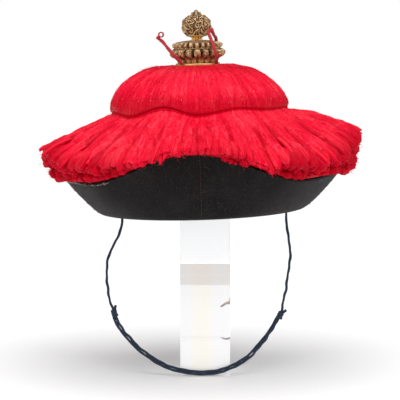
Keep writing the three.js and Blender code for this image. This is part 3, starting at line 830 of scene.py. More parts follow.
def brimEdge(azimuth):
    # the upper edge of the brim's middle line: its two peaks and its low sides
    turned = np.mod(azimuth - brimSetup["turn"] + 90, 180) - 90
    near = np.clip(np.abs(turned) / brimSetup["peakSpread"], 0, 1)
    rise = (1 + np.cos(np.pi * near)) / 2
    reach = mix(brimSetup["sideReach"], brimSetup["peakReach"], rise)
    height = mix(brimSetup["sideHeight"], brimSetup["peakHeight"], rise)
    radius = foldCentre + reach + brimSetup["sideReach"] * around(brimTable, azimuth, 2)
    return radius, height + brimSetup["sideHeight"] * around(brimTable, azimuth, 1)


def feltSection(middle, wall):
    # the closed section of a felt wall round its middle line, with rounded ends
    along = np.gradient(middle, axis=1)
    along /= np.linalg.norm(along, axis=-1)[..., None]
    out = np.stack([along[..., 1], -along[..., 0]], -1) * wall / 2
    caps = []
    for row, sign in ((-1, 1), (0, -1)):
        turns = np.linspace(0, math.pi, 7)[1:-1][None, :, None]
        spread = out[:, row, None] * np.cos(turns) + along[:, row, None] * np.sin(turns) * wall / 2
        caps.append(middle[:, row, None] + sign * spread)
    return np.concatenate([middle + out, caps[0], (middle - out)[:, ::-1], caps[1]], 1)


def makeBrim(setup):
    azimuth = np.arange(setup["columns"]) * 360 / setup["columns"]
    edgeRadius, edgeHeight = brimEdge(azimuth)
    fold = setup["foldRadius"]
    lines = []
    for height in np.linspace(setup["innerHeight"], foldHeight + 1, 8):
        lines.append(ringRow(azimuth, legRadius, height))
    for turn in np.radians(np.linspace(180, 315, 12)):
        radius, height = foldCentre + fold * math.cos(turn), foldHeight + fold * math.sin(turn)
        lines.append(ringRow(azimuth, radius, height))
    wallRadius, wallHeight = lines[-1][0]
    for share in np.linspace(0, 1, 30)[1:]:
        bow = setup["bow"] * ripple(11, azimuth, share * 3, (2, 9), 1.5) * math.sin(math.pi * share)
        height = mix(wallHeight, edgeHeight, share ** setup["roll"])
        lines.append(ringRow(azimuth, mix(wallRadius, edgeRadius, share) + bow, height))
    section = feltSection(np.stack(lines, 1), setup["wall"] - 0.1)
    rows = section.shape[1]
    # the seams at the front and the back draw the outer face in
    away = np.abs(np.mod(azimuth[:, None] - setup["seamAzimuth"] + 90, 180) - 90)
    outer = (np.arange(rows)[None, :] > 8) & (np.arange(rows)[None, :] < len(lines))
    section[..., 0] -= setup["seamDepth"] * np.exp(-(away / setup["seamWidth"]) ** 2) * outer
    along = np.linspace(0, 150, rows)[None, :]
    piece = ringPiece("brim_felt", section, azimuth[:, None], along, finishes["felt"])
    finishPiece(piece, ["brim"])


makeCrown(crownSetup)
makeBrim(brimSetup)
print("felt made")

flossSetup = {
    "waistHeight": 102.4, "waistRadius": 89.2, "waistCord": 2.0, "waistWave": 5,
    "pinch": 1.35, "pinchOpen": 0.6, "pinchAzimuth": -24,
    "capRadius": 90.6, "capTop": 147.6, "capTopRadius": 40, "capSlump": 3.5, "plateRadius": 22.5,
    "skirtReach": 76, "skirtTip": 36, "skirtSwell": 4, "foldDepth": 5, "lockDepth": 7,
    "tuftCover": 7.0, "tuftGap": 1.5, "gap": 0.3, "skin": 0.35, "fibre": 0.0004,
}
waistTable = [
    # azimuth, rise
    (-90, -0.36), (-70, 0), (-50, -0.8), (-22, 1), (-1, -0.6), (25, 0.46), (50, -0.04), (75, 0.1),
    (105, -0.4), (130, 0.5), (155, -0.5), (180, 0.6), (208, -0.5), (240, 0.4),
]
capTable = [
    # inward, upward
    (0, 0.06), (0.015, 0.22), (0.12, 0.46), (0.33, 0.7), (0.66, 0.91), (1, 1),
]
skirtTable = [
    # azimuth, reach, upper lip, lower lip, swell
    (-105, 0.95, 0.93, 0, 0.3), (-90, 0.95, 0.93, -0.02, 0.1), (-76, 0.96, 0.9, 0.04, 0.3),
    (-63, 0.94, 0.7, 0.1, 0.5), (-50, 0.9, 0.63, 0.15, 0.5), (-36, 0.87, 0.5, 0.08, 0.5),
    (-23, 0.82, 0.12, 0, 0.6), (-10, 0.8, 0.2, -0.03, 0.5), (4, 0.8, 0.26, -0.04, 0.5),
    (16, 0.81, 0.34, -0.02, 0.6), (24, 0.84, 0.12, 0.04, 0.6), (38, 0.9, 0.72, 0.1, 0.5),
    (50, 0.92, 0.5, 0.18, 0.6), (63, 0.96, 0.68, 0.1, 0.8), (77, 0.99, 1.05, 0, 1),
    (90, 0.99, 1.18, -0.07, 1), (104, 0.98, 1.05, 0, 0.9), (130, 0.92, 0.6, 0.12, 0.5),
    (150, 0.86, 0.35, 0.02, 0.6), (165, 0.81, 0.2, -0.02, 0.5), (180, 0.8, 0.26, -0.04, 0.5),
    (195, 0.81, 0.22, -0.02, 0.5), (212, 0.87, 0.4, 0.05, 0.6), (232, 0.93, 0.62, 0.12, 0.5),
]
foldTable = [
    # azimuth, depth, width in degrees
    (-86, 0.8, 2.2), (-72, 1.1, 2.2), (-58, 1.4, 2), (-43, 1.5, 2), (-30, 0.5, 1.6), (-17, 1, 1.8),
    (-1, 0.8, 1.4), (12, 0.4, 1.4), (27, 1.3, 1.7), (36, 0.7, 2.4), (48, 0.9, 1.8), (62, 1.5, 2),
    (77, 1.2, 2), (93, 0.6, 3), (120, 0.9, 3), (147, 0.7, 2.5), (174, 1, 3), (201, 0.7, 3),
    (222, 0.9, 3), (249, 0.7, 3),
]


def waistAt(azimuth):
    return flossSetup["waistHeight"] + flossSetup["waistWave"] * around(waistTable, azimuth, 1)


def pinchAt(azimuth):
    # how far the floss closes over the waist cord, which shows on the left of the front
    away = np.mod(azimuth - flossSetup["pinchAzimuth"] + 180, 360) - 180
    return flossSetup["pinch"] - flossSetup["pinchOpen"] * np.exp(-(away / 15) ** 2)


def spline(points, count):
    # a smooth curve through plane points, by the same rule as the cords
    span = max(np.ptp([point[0] for point in points]), np.ptp([point[1] for point in points]))
    flat = catmull([(x, y, 0) for x, y in points], span / 200)[:, :2]
    return evenly(flat, count)


waistSlit = flossSetup["waistCord"] / 2 + flossSetup["gap"]
capCurve = spline(capTable, 200)


def onCrown(azimuth, angle):
    # a row of the floss where it lies on the dome
    return ringRow(azimuth, *crownPoint(angle, flossSetup["skin"]))


def capSurface(azimuth, share):
    # the cap's face without its grooves, from its foot at 0 to its top edge at 1
    inward, upward = [np.interp(share, np.linspace(0, 1, 200), capCurve[:, n]) for n in range(2)]
    foot = waistAt(azimuth) + waistSlit - pinchAt(azimuth)
    slump = flossSetup["capSlump"] * (1 + np.sin(np.radians(azimuth))) / 2
    radius = mix(flossSetup["capRadius"], flossSetup["capTopRadius"], inward) + 0 * foot
    return radius, mix(foot, flossSetup["capTop"], upward) - slump * upward * (4.2 - 3.9 * upward)


capSetup = {
    "columns": 860, "rows": 78, "length": 62, "drift": 2.2, "lobes": (0.5, 0.4), "strands": 0.3, "fine": 0.22,
}


def makeCap(setup):
    columns, rows = setup["columns"], setup["rows"]
    azimuth = np.arange(columns) * 360 / columns
    share = np.linspace(0, 1, rows)
    foot = (waistAt(azimuth) + waistSlit - pinchAt(azimuth))[:, None]
    radius, height = capSurface(azimuth[:, None], share[None, :])
    drift = setup["drift"] * ripple(21, azimuth[:, None], share[None, :] * 5, (2, 9), 1, 8) * share[None, :]
    turned = azimuth[:, None] + drift
    many, few = setup["lobes"]
    lobes = many * np.cos(np.radians(azimuth * 16)) + few * np.cos(np.radians(azimuth * 7 + 40))
    strands = setup["strands"] * ripple(22, turned, share[None, :] * 9, (40, 130), 1.2)
    fine = setup["fine"] * ripple(23, turned, share[None, :] * 18, (150, 440), 1.5)
    fade = smooth(share, 0, 0.05)[None, :] * smooth(1.04 - share, 0, 0.3)[None, :]
    relief = (lobes[:, None] + strands + fine) * mix(0.35, 1, fade)
    along = np.gradient(np.stack([radius, height], -1), axis=1)
    along /= np.linalg.norm(along, axis=-1)[..., None]
    radius = radius + along[..., 1] * relief - 0.3
    height = height - along[..., 0] * relief * 0.8 - 0.2 * share[None, :]
    outer = np.stack([radius, height], -1)
    plateEdge = flossSetup["plateRadius"] + flossSetup["gap"]
    flat = []
    for part in np.linspace(0, 1, 9)[1:]:
        tuft = 0.25 * ripple(24, azimuth, part * 4, (20, 90), 2)
        edge = mix(flossSetup["capTopRadius"], plateEdge, part)
        flat.append(ringRow(azimuth, edge, flossSetup["capTop"] - 0.25 + tuft * (1 - part)))
    footAngle = crownAngle(foot[:, 0], flossSetup["skin"])
    under = [onCrown(azimuth, angle) for angle in np.linspace(80, 64, 6)]
    under += [onCrown(azimuth, mix(62, footAngle, part)) for part in np.linspace(0, 1, 5)]
    inner = ringRow(azimuth, flossSetup["waistRadius"] - waistSlit, foot[:, 0])
    section = np.concatenate([inner[:, None], outer, np.stack(flat, 1), np.stack(under, 1)], 1)
    run = share * setup["length"]
    runs = ([0], run, run[-1] + np.linspace(2, 18, len(flat)), run[-1] + np.linspace(18, 58, len(under)))
    lie = np.concatenate(runs)[None, :]
    # painted shade: darker at the foot over the waist cord, over the lower band, which faces away from the
    # overhead light, where the face turns in at the top, and on the flat ring round the plate
    shade = np.zeros(section.shape[:2])
    shade[:, 0] = 0.9
    dark = 0.35 * np.exp(-(run / 1.3) ** 2) + 0.62 * (1 - smooth(run, 6, 21))
    shade[:, 1:rows + 1] = (dark + 0.45 * smooth(share, 0.62, 0.92))[None, :]
    shade[:, rows + 1:rows + 1 + len(flat)] = 0.3
    piece = ringPiece("floss_cap_strands", section, azimuth[:, None], lie, finishes["cap"], shade)
    finishPiece(piece, ["floss_cap"])


def splitRound(seed, width, least):
    # the edges between neighbours right round, in degrees, with the deep folds among them
    draw = np.random.default_rng(seed)
    folds = sorted(np.mod(row[0], 360) for row in foldTable)
    edges = []
    for here, after in zip(folds, folds[1:] + [folds[0] + 360]):
        count = max(int(round((after - here) / width)), 1)
        widths = draw.uniform(least, 2 - least, count)
        edges += list(here + (after - here) * np.concatenate([[0], np.cumsum(widths)[:-1]]) / widths.sum())
    return np.array(edges)


def across(edges, azimuth):
    # which part of a split an azimuth is in, and how far across that part
    turn = np.mod(azimuth - edges[0], 360) + edges[0]
    here = np.searchsorted(edges, turn, side="right") - 1
    ends = np.append(edges[1:], edges[0] + 360)
    return here, (turn - edges[here]) / (ends[here] - edges[here])


lockEdges = splitRound(5, 8.2, 0.55)
cordEdges = splitRound(6, 1.9, 0.4)


def foldAt(azimuth):
    depth = np.zeros(np.shape(azimuth))
    for place, share, width in foldTable:
        away = np.abs(np.mod(azimuth - place + 180, 360) - 180)
        depth = depth + share * np.exp(-(away / width) ** 2)
    return depth * flossSetup["foldDepth"]


def skirtForm(azimuth):
    # the waist, the upper and the lower lip of the skirt of locks; room grows to 1 as the lips part
    edgeRadius, edgeHeight = brimEdge(azimuth)
    lock, share = across(lockEdges, azimuth)
    draw = np.random.default_rng(31)
    trim = draw.uniform(-2.4, 2.0, len(lockEdges))[lock]
    lift = draw.uniform(-2.2, 1.2, len(lockEdges))[lock]
    reach = flossSetup["waistRadius"] + flossSetup["skirtReach"] * around(skirtTable, azimuth, 1)
    upper = edgeHeight + flossSetup["skirtTip"] * around(skirtTable, azimuth, 2)
    lower = edgeHeight + flossSetup["skirtTip"] * around(skirtTable, azimuth, 3)
    room = smooth(upper - lower, 5, 22)
    return {
        "edgeRadius": edgeRadius, "edgeHeight": edgeHeight, "across": share,
        "top": waistAt(azimuth) - waistSlit, "lip": reach + trim * mix(0.4, 1, room),
        "upper": upper + lift * room, "lower": lower, "room": room,
        "swell": flossSetup["skirtSwell"] * around(skirtTable, azimuth, 4),
    }


def formAt(azimuth):
    # the same for one azimuth, as plain numbers
    return {key: float(value) for key, value in skirtForm(np.array(azimuth)).items()}


def coverOf(form):
    # how far the tufts stand out past the end of the skirt's own surface
    return flossSetup["tuftCover"] * form["room"] + flossSetup["tuftGap"]


def faceAt(form, part):
    # a place on the cut face of the skirt, 0 at the upper lip and 1 at the lower one
    low = np.maximum(mix(form["edgeRadius"] + 2.4, form["lip"], 0.45), form["edgeRadius"] + 3.6)
    return mix(form["lip"], low, part ** 1.6), mix(form["upper"], form["lower"], part)


def skirtTop(form, share):
    # the upper face of the skirt without its grooves, from the waist at 0 to the lip at 1
    radius = mix(flossSetup["waistRadius"], form["lip"] - coverOf(form), share)
    slope = (form["upper"] - form["top"]) / (form["lip"] - flossSetup["waistRadius"])
    bulge = np.interp(share, [0, 0.1, 0.36, 0.7, 1, 1.3], [0, 0.35, 1, 0.9, 0.1, -0.9])
    return radius, form["top"] + slope * (radius - flossSetup["waistRadius"]) + bulge * form["swell"]


skirtSetup = {
    "columns": 1120, "rows": 62, "drift": (3.0, 1.0), "cords": (0.4, 1.2), "strands": 0.35, "fine": 0.24,
    "lumps": 0.8,
}


def makeSkirt(setup):
    columns, rows = setup["columns"], setup["rows"]
    azimuth = np.arange(columns) * 360 / columns
    form = skirtForm(azimuth)
    share = np.linspace(0, 1, rows)[None, :]
    grown = smooth(share, 0.0, 0.8)
    room = form["room"][:, None]
    drift = setup["drift"][0] * ripple(41, azimuth[:, None], share * 6, (2, 7), 1, 8)
    drift = drift + setup["drift"][1] * ripple(45, azimuth[:, None], share * 12, (9, 30), 1, 8)
    turned = azimuth[:, None] + drift * share * (1.1 - share)
    _, inLock = across(lockEdges, turned)
    _, inCord = across(cordEdges, turned)
    lockRound = np.sqrt(np.clip(1 - (2 * inLock - 1) ** 2, 0, 1))
    cordRound = np.sqrt(np.clip(1 - (2 * inCord - 1) ** 2, 0, 1))
    locks = (1 - lockRound) * flossSetup["lockDepth"] * smooth(share, 0, 0.6) * mix(0.4, 1, room)
    cords = (1 - cordRound) * mix(*setup["cords"], share) * smooth(share, 0, 0.1)
    sink = foldAt(turned) * grown * mix(0.45, 1, room)
    stacked = {key: value[:, None] for key, value in form.items()}
    radius, height = skirtTop(stacked, share)
    strands = setup["strands"] * ripple(42, turned, share * 14, (60, 170), 1.2)
    fine = setup["fine"] * ripple(43, turned, share * 26, (190, 520), 1.5)
    lumps = setup["lumps"] * ripple(46, turned, share * 9, (20, 60), 1.5) * grown
    height = height - sink - locks - cords + (strands + fine + lumps) * smooth(share, 0.0, 0.12)
    height = height - smooth(share, 0.8, 1.0) * 4.0 * room - 0.4
    height = height + pinchAt(azimuth)[:, None] * (1 - smooth(share, 0, 0.03))
    top = np.stack([radius, height], -1)
    face = []
    for part in np.linspace(0, 1, 9)[1:]:
        lipAt, _ = faceAt(form, part)
        ragged = 1.2 * ripple(44, azimuth, part * 8, (60, 220), 3)
        edge = np.maximum(lipAt - 8 * form["room"] - flossSetup["tuftGap"] + ragged, form["edgeRadius"] + 3)
        face.append(ringRow(azimuth, edge, mix(height[:, -1], form["lower"] + 1.5, part) + 0.4 * ragged))
    overEdge = form["edgeHeight"] + 2.4
    under = [ringRow(azimuth, form["edgeRadius"] + reach, overEdge) for reach in (2.4, -2.4)]
    topAngle = crownAngle(form["top"], flossSetup["skin"])
    under += [onCrown(azimuth, mix(20, topAngle, part)) for part in np.linspace(0.25, 1, 4)]
    under.append(ringRow(azimuth, flossSetup["waistRadius"] - waistSlit, form["top"]))
    hidden = len(face) + len(under)
    section = np.concatenate([top, np.stack(face + under, 1)], 1)[:, ::-1]
    runs = (np.linspace(0, 80, rows), 80 + np.linspace(2, 22, len(face)), np.linspace(100, 160, len(under)))
    length = np.concatenate(runs)[None, ::-1]
    # painted shade: darker in the folds, between the locks and the cords, at the waist, and fully dark all
    # behind the tufts
    shade = np.zeros(section.shape[:2])
    valley = (1 - lockRound) ** 1.4 * smooth(share, 0, 0.35)
    hollow = 0.18 * sink + 0.5 * valley + 0.12 * (1 - cordRound) * grown + 0.3 * np.exp(-share / 0.012)
    shade[:, -rows:] = np.clip(hollow, 0, 0.85)[:, ::-1]
    shade[:, :hidden] = 1.0
    piece = ringPiece("floss_skirt_strands", section, azimuth[:, None], length, finishes["skirt"], shade)
    finishPiece(piece, ["floss_skirt"])


endSetup = {
    "spacing": 8.0, "layer": 7.6, "length": 24, "thick": (2.8, 5.6), "swing": 6.5, "bend": 3.2,
    "sides": 16, "relief": 2.4, "seed": 51,
}
tipSetup = {
    "spacing": 8.2, "length": 36, "thick": (4.2, 6.6), "swing": 2.0, "bend": 1.4,
    "sides": 18, "relief": 1.6, "seed": 52,
}
straySetup = {"length": 30, "sides": 12, "relief": 0.9, "seed": 53}
# the points along every tuft, close together at its nose
tuftSteps = np.array([0, 0.2, 0.4, 0.58, 0.72, 0.82, 0.89, 0.94, 0.975, 1.0])


def noseSize(step, length, thick):
    # the thickness along a tuft: narrow at its root, with a rounded nose
    left = np.clip((1 - step) * length / thick, 0.02, 1)
    return thick * 0.001 * np.sqrt(1 - (1 - left) ** 2) * np.interp(step, [0, 0.4], [0.6, 1])


def bentAside(setup, draw, azimuth, radius):
    # the azimuths along a tuft that swings and bends to one side or the other by chance
    swing = draw.uniform(-1, 1) * setup["swing"]
    bend = draw.uniform(-1, 1) * setup["bend"]
    return azimuth + np.degrees((swing * tuftSteps ** 2 + bend * np.sin(tuftSteps * 3)) / radius)


def addTuft(tufts, line, size, shade, origin, length):
    # origin sets the tuft's own place in the grain of the material
    lie = np.stack(np.broadcast_arrays(origin[0], origin[1], length * tuftSteps * flossSetup["fibre"]), -1)
    for key, value in (("lines", line), ("sizes", size), ("shades", shade), ("lies", lie)):
        tufts.setdefault(key, []).append(value)


def growTufts(name, setup, tufts, finish):
    mesh = lineMesh(name, tufts["lines"], tufts["sizes"], tufts["lies"], tufts["shades"])
    values = {"Sides": setup["sides"], "Relief": setup["relief"], "Grain": 340.0, "Seed": 1.0}
    finishPiece(grow(name, mesh, strandTree(), {**values, "Finish": finish}), [])
    print(name, len(tufts["lines"]))
    return tufts


strayTable = [
    # azimuth, past the lip, drop, thickness: single locks that hang or stand out, as the photo shows
    (-17, 1, 5, 2.8), (-15, 1.5, 8, 3.2), (-13, 1.5, 6, 2.6), (-11, 0.5, 3, 2.4), (-5, 0.5, 2, 2.6),
    (3, 0.5, 2, 2.4), (-95, 4, 0, 3.2), (-97, 2.5, 0.5, 2.6), (-91, 2, 2, 2.6), (15, 0.5, 4, 2.4),
    (19, 0, 6, 2.2), (22, 0, 4, 2.4), (36, 0.5, 6, 2.6), (39, 0, 8, 2.4), (57, 1.5, 3, 2.8),
    (84, 1, 2, 3.2), (88, 1, 1, 3.2), (-58, 2, 4, 2.6), (-74, 3, 3, 2.2),
]


def makeStrays(setup):
    # each stray lies on the skirt's slope, goes past its lip and drops
    draw = np.random.default_rng(setup["seed"])
    tufts, step = {}, tuftSteps
    for azimuth, past, drop, thick in strayTable:
        form = formAt(azimuth)
        body = form["lip"] - coverOf(form) - flossSetup["waistRadius"]
        share = 1 + (coverOf(form) + past) / body - setup["length"] / body * (1 - step)
        radius, height = skirtTop(form, share)
        height = height - mix(1.6, 0.2, step) * thick - drop * smooth(step, 0.45, 1.1)
        turn = azimuth + np.degrees(draw.uniform(-2.5, 2.5) * step ** 2 / form["lip"])
        size = thick * 0.001 * np.interp(step, [0, 0.5, 0.85, 1], [0.7, 1, 0.7, 0.15])
        # painted shade grows towards the end that hangs down
        addTuft(tufts, toPart(polar(radius, turn, height)), size, 0.2 * step, (azimuth, 0), setup["length"])
    return growTufts("floss_stray_locks", setup, tufts, finishes["skirt"])


def makeLockTips(setup):
    # the upper tufts: each lies on the skirt's slope and bends down over the lip
    draw = np.random.default_rng(setup["seed"])
    tufts, step = {}, tuftSteps
    azimuth = 0.0
    while azimuth < 360:
        form = formAt(azimuth)
        room = form["room"]
        body = form["lip"] - coverOf(form) - flossSetup["waistRadius"]
        thick = draw.uniform(*setup["thick"]) * mix(0.72, 1, room)
        inLock = form["across"] * 2 - 1
        trim = draw.uniform(-1.0, 3.4) * mix(0.4, 1, room) - 5.0 * inLock ** 4 * room
        end = 1 + (coverOf(form) - 0.7 * thick + trim) / body
        length = setup["length"] * draw.uniform(0.75, 1.1) * mix(0.7, 1, room)
        share = end - length / body * (1 - step)
        radius, height = skirtTop(form, share)
        fold = float(foldAt(np.array(azimuth))) * mix(0.45, 1, room)
        sunk = flossSetup["lockDepth"] * (1 - math.sqrt(1 - inLock ** 2)) * mix(0.4, 1, room) + fold
        height = height - mix(1.9, 0.9, smooth(step, 0, 0.6)) * thick - sunk
        height = height - draw.uniform(1.0, 5.0) * smooth(step, 0.6, 1.05) * mix(0.3, 1, room)
        line = toPart(polar(radius, bentAside(setup, draw, azimuth, form["lip"]), height))
        # painted shade: darker at the lock's edges, in its fold and towards the nose as it bends over the
        # lip, plus a random tone
        shadeAndTone = 0.3 * inLock ** 4 + draw.uniform(-0.05, 0.2) + 0.14 * fold
        shade = np.clip(shadeAndTone + 0.6 * smooth(step, 0.4, 1) * room, 0, 0.9)
        addTuft(tufts, line, noseSize(step, length, thick), shade, draw.uniform(-1, 1, 2), length)
        spacing = setup["spacing"] * mix(0.85, 1, room)
        azimuth += math.degrees(spacing / form["lip"]) * draw.uniform(0.7, 1.3)
    return growTufts("floss_lock_tips", setup, tufts, finishes["skirt"])


def makeLockEnds(setup):
    # the cut ends of the locks: tufts in layers round the skirt's face, each bent its own way
    draw = np.random.default_rng(setup["seed"])
    tufts, step = {}, tuftSteps
    azimuth = 0.0
    while azimuth < 360:
        form = formAt(azimuth)
        room = form["room"]
        layers = int(round((form["upper"] - form["lower"]) / setup["layer"])) if room > 0.3 else 0
        for layer in range(layers):
            part = min((layer + 0.9 + draw.uniform(-0.3, 0.3)) / layers, 0.98)
            lip, height = faceAt(form, part)
            thick = draw.uniform(*setup["thick"]) * mix(0.55, 1, room)
            length = setup["length"] * draw.uniform(0.8, 1.15)
            end = lip - thick * 0.6 + draw.uniform(-4.0, 3.0) * room
            lean = mix(0.6, -0.2, part ** 0.7) + draw.uniform(-0.15, 0.15)
            droop = draw.uniform(-2.5, 4.5) * room
            turn = bentAside(setup, draw, azimuth, lip)
            radius = end - length * (1 - step)
            rise = height - thick * 0.4 + length * lean * (1 - step) - droop * step ** 3
            # no tuft sinks into the felt, and none hangs below the skirt's lower lip
            overFelt = radius < form["edgeRadius"] + 5
            rise = np.maximum(rise, np.where(overFelt, form["edgeHeight"] + thick + 2.2, -9))
            rise = np.maximum(rise, form["lower"] + 0.45 * thick)
            # painted shade: darker towards the root, lower down the face and the deeper the tuft lies buried,
            # plus a random tone
            buried = np.clip((lip - end) / 5, 0, 1) * 0.35 + 0.2
            shadeAndTone = mix(0.85, 0.1, step) + 0.3 * part * room + buried + draw.uniform(-0.2, 0.2)
            line, size = toPart(polar(radius, turn, rise)), noseSize(step, length, thick)
            addTuft(tufts, line, size, np.clip(shadeAndTone, 0, 0.95), draw.uniform(-1, 1, 2), length)
        azimuth += math.degrees(setup["spacing"] / form["lip"]) * draw.uniform(0.75, 1.25)
    return growTufts("floss_lock_ends", setup, tufts, finishes["ends"])


wispSetup = {"each": 8, "points": 5, "seed": 61}


def growStrands(name, lines, thick, shades, finish, sides=3):
    tint = np.random.default_rng(len(lines)).uniform(-1, 1, (len(lines), 1, 3))
    mesh = lineMesh(name, lines, thick, tint, shades)
    values = {"Sides": sides, "Relief": 0.0, "Grain": 1.0, "Seed": 2.0, "Finish": finish}
    finishPiece(grow(name, mesh, strandTree(), values), [])
    print(name, len(lines))


def makeWisps(setup, tufts):
    # loose strands that curl out of the cut ends
    draw = np.random.default_rng(setup["seed"])
    step = np.linspace(0, 1, setup["points"])[:, None]
    wisps = []
    for kind in tufts:
        for line, size in zip(kind["lines"], kind["sizes"]):
            along = line[-1] - line[-3]
            along /= np.linalg.norm(along)
            for _ in range(setup["each"]):
                start = line[-3] + draw.normal(0, 0.6, 3) * size[-3]
                aim = along + draw.normal(0, 0.5, 3)
                curl, twist = draw.normal(0, 0.9, 3), draw.normal(0, 0.15, 3)
                path = aim * step + curl * step ** 2 + twist * np.sin(step * 7)
                wisps.append(start + 0.001 * draw.uniform(0.6, 1.5) * path)
    count = len(wisps)
    thick = 0.0002 * draw.uniform(0.7, 1.3, (count, 1)) * np.array([1, 1, 0.9, 0.75, 0.4])
    growStrands("floss_wisps", wisps, thick, draw.uniform(0, 0.35, (count, 1)), finishes["skirt"])


flySetup = {"cap": 300, "skirt": 260, "points": 7, "seed": 71}


def makeFlyaways(setup):
    # fine strands that lie a little loose over the cap and the skirt
    draw = np.random.default_rng(setup["seed"])
    step = np.linspace(0, 1, setup["points"])
    strands = []
    for _ in range(setup["cap"]):
        azimuth, start = draw.uniform(0, 360), draw.uniform(0.02, 0.9)
        share = start + draw.uniform(-0.08, 0.3) * step
        turn = azimuth + draw.normal(0, 3.2) * step + draw.normal(0, 1.2) * np.sin(step * 4)
        radius, height = capSurface(turn, np.clip(share, 0, 0.99))
        lift = 0.3 + draw.exponential(0.45) * np.sin(step * math.pi)
        strands.append(toPart(polar(radius + lift * 0.7, turn, height + lift * 0.7)))
    for _ in range(setup["skirt"]):
        azimuth, start = draw.uniform(0, 360), draw.uniform(0.0, 0.85)
        share = start + draw.uniform(0.1, 0.3) * step
        turn = azimuth + draw.normal(0, 2.2) * step + draw.normal(0, 0.9) * np.sin(step * 4)
        radius, height = skirtTop(skirtForm(turn), share)
        lift = -0.2 - 2.2 * share + draw.exponential(0.6) * np.sin(step * math.pi)
        strands.append(toPart(polar(radius, turn, height + lift)))
    count = len(strands)
    thick = 0.00015 * draw.uniform(0.6, 1.3, (count, 1)) * np.ones(setup["points"])
    growStrands("floss_flyaways", strands, thick, draw.uniform(0, 0.1, (count, 1)), finishes["cap"])


waistSetup = {"columns": 1080, "sides": 8, "thick": 0.88, "plies": 0.12, "sunk": 0.9}


def makeWaistCord(setup):
    # a cord of two plies that sinks between the tiers, but for three stretches
    azimuth = np.arange(setup["columns"]) * 360 / setup["columns"]
    angle = np.arange(setup["sides"]) * 360 / setup["sides"]
    plies = setup["plies"] * np.cos(np.radians(2 * angle[None, :] + azimuth[:, None] * 260))
    size = flossSetup["waistCord"] / 2 * (setup["thick"] + plies)
    seen = smooth(np.cos(np.radians(3 * (azimuth + 21))), 0.0, 0.7)
    section = np.stack([
        (flossSetup["waistRadius"] - setup["sunk"] * (1 - seen))[:, None] + size * np.cos(np.radians(angle)),
        waistAt(azimuth)[:, None] + size * np.sin(np.radians(angle)),
    ], -1)
    along = angle[None, :] * 0.02
    piece = ringPiece("waist_cord_twisted", section, azimuth[:, None], along, finishes["ends"])
    finishPiece(piece, ["waist_cord"])


makeCap(capSetup)
makeSkirt(skirtSetup)
makeWaistCord(waistSetup)
makeWisps(wispSetup, [makeLockTips(tipSetup), makeLockEnds(endSetup), makeStrays(straySetup)])
makeFlyaways(flySetup)

speckSetup = {
    "cap": 70, "skirt": 45, "size": 0.00028, "seed": 75,
    "seen": [
        # azimuth and share of the cap's face, for the specks that show from the front
        (28, 0.34), (28.4, 0.28), (27.8, 0.22), (28.2, 0.14), (5, 0.45), (4.4, 0.47), (-44, 0.24),
        (-46, 0.22), (-25, 0.75), (-27, 0.72), (12, 0.8), (40, 0.3), (52, 0.12), (53, 0.16),
    ],
}


def makeSpecks(setup):
    # lint and dust caught in the floss
    draw = np.random.default_rng(setup["seed"])
    places = setup["seen"] + [(draw.uniform(0, 360), draw.uniform(0.05, 0.95)) for _ in range(setup["cap"])]
    points = []
    for azimuth, share in places:
        radius, height = capSurface(np.array(azimuth), share)
        points.append(toPart(polar(radius + 0.3, azimuth, height + 0.2)))
    for _ in range(setup["skirt"]):
        azimuth = draw.uniform(0, 360)
        radius, height = skirtTop(skirtForm(np.array(azimuth)), draw.uniform(0.02, 0.9))
        points.append(toPart(polar(radius, azimuth, height - 0.8)))
    mesh = bpy.data.meshes.new("specks")
    mesh.from_pydata([tuple(point) for point in points], [], [])
    values = {"Size": setup["size"], "Seed": 3, "Finish": finishes["lint"]}
    finishPiece(grow("lint_specks", mesh, speckTree(), values), [])


makeSpecks(speckSetup)
print("floss made")


def brimOuter(azimuth, share, lift=0.0):
    # the outer face of the turned-up brim, from the fold at 0 to the edge at 1
    edgeRadius, edgeHeight = brimEdge(azimuth)
    fold = brimSetup["foldRadius"] * math.sqrt(0.5)
    lowRadius, lowHeight = foldCentre + fold, foldHeight - fold
    length = np.hypot(edgeRadius - lowRadius, edgeHeight - lowHeight)
    away = brimSetup["wall"] / 2 + lift
    radius = mix(lowRadius, edgeRadius, share) + away * (edgeHeight - lowHeight) / length
    height = mix(lowHeight, edgeHeight, share ** brimSetup["roll"])
    return radius, height - away * (edgeRadius - lowRadius) / length


hairSetup = {
    "points": 6, "seed": 81,
    "groups": {
        # piece: count, azimuths, shares of the brim's face, length, lift, thickness, finish
        "felt_hairs": (700, (0, 360), (0.02, 0.98), 4.0, 0.7, 0.09, "hair"),
        "felt_edge_fuzz": (700, (0, 360), (0.985, 1.01), 1.6, 0.5, 0.1, "hair"),
        "felt_edge_frays": (120, (-82, -40), (0.98, 1.01), 1.3, 0.6, 0.13, "fray"),
        "felt_scuff_fibres": (60, (56, 63), (0.9, 1.0), 2.2, 0.4, 0.12, "scuff"),
    },
}


def makeHairs(setup):
    # loose fibres on the felt: all over the brim, along its frayed edge, and at a scuff
    draw = np.random.default_rng(setup["seed"])
    step = np.linspace(0, 1, setup["points"])
    for name, (count, turns, shares, length, lift, thick, finish) in setup["groups"].items():
        hairs = []
        for _ in range(count):
            azimuth, share, aim = draw.uniform(*turns), draw.uniform(*shares), draw.uniform(0, 2 * math.pi)
            long = length * draw.uniform(0.5, 1.4)
            bend = aim + draw.normal(0, 1.3) * step
            turn = azimuth + np.degrees(long * step * np.cos(bend) / brimSetup["meanRadius"])
            along = share + long * step * np.sin(bend) / brimSetup["meanHeight"]
            rise = -0.05 + lift * draw.uniform(0.2, 1) * np.sin(step * 2.6)
            radius, height = brimOuter(turn, np.clip(along, 0, 1.05), rise)
            hairs.append(toPart(polar(radius, turn, height)))
        growStrands(name, hairs, thick * 0.001, 0.0, finishes[finish])


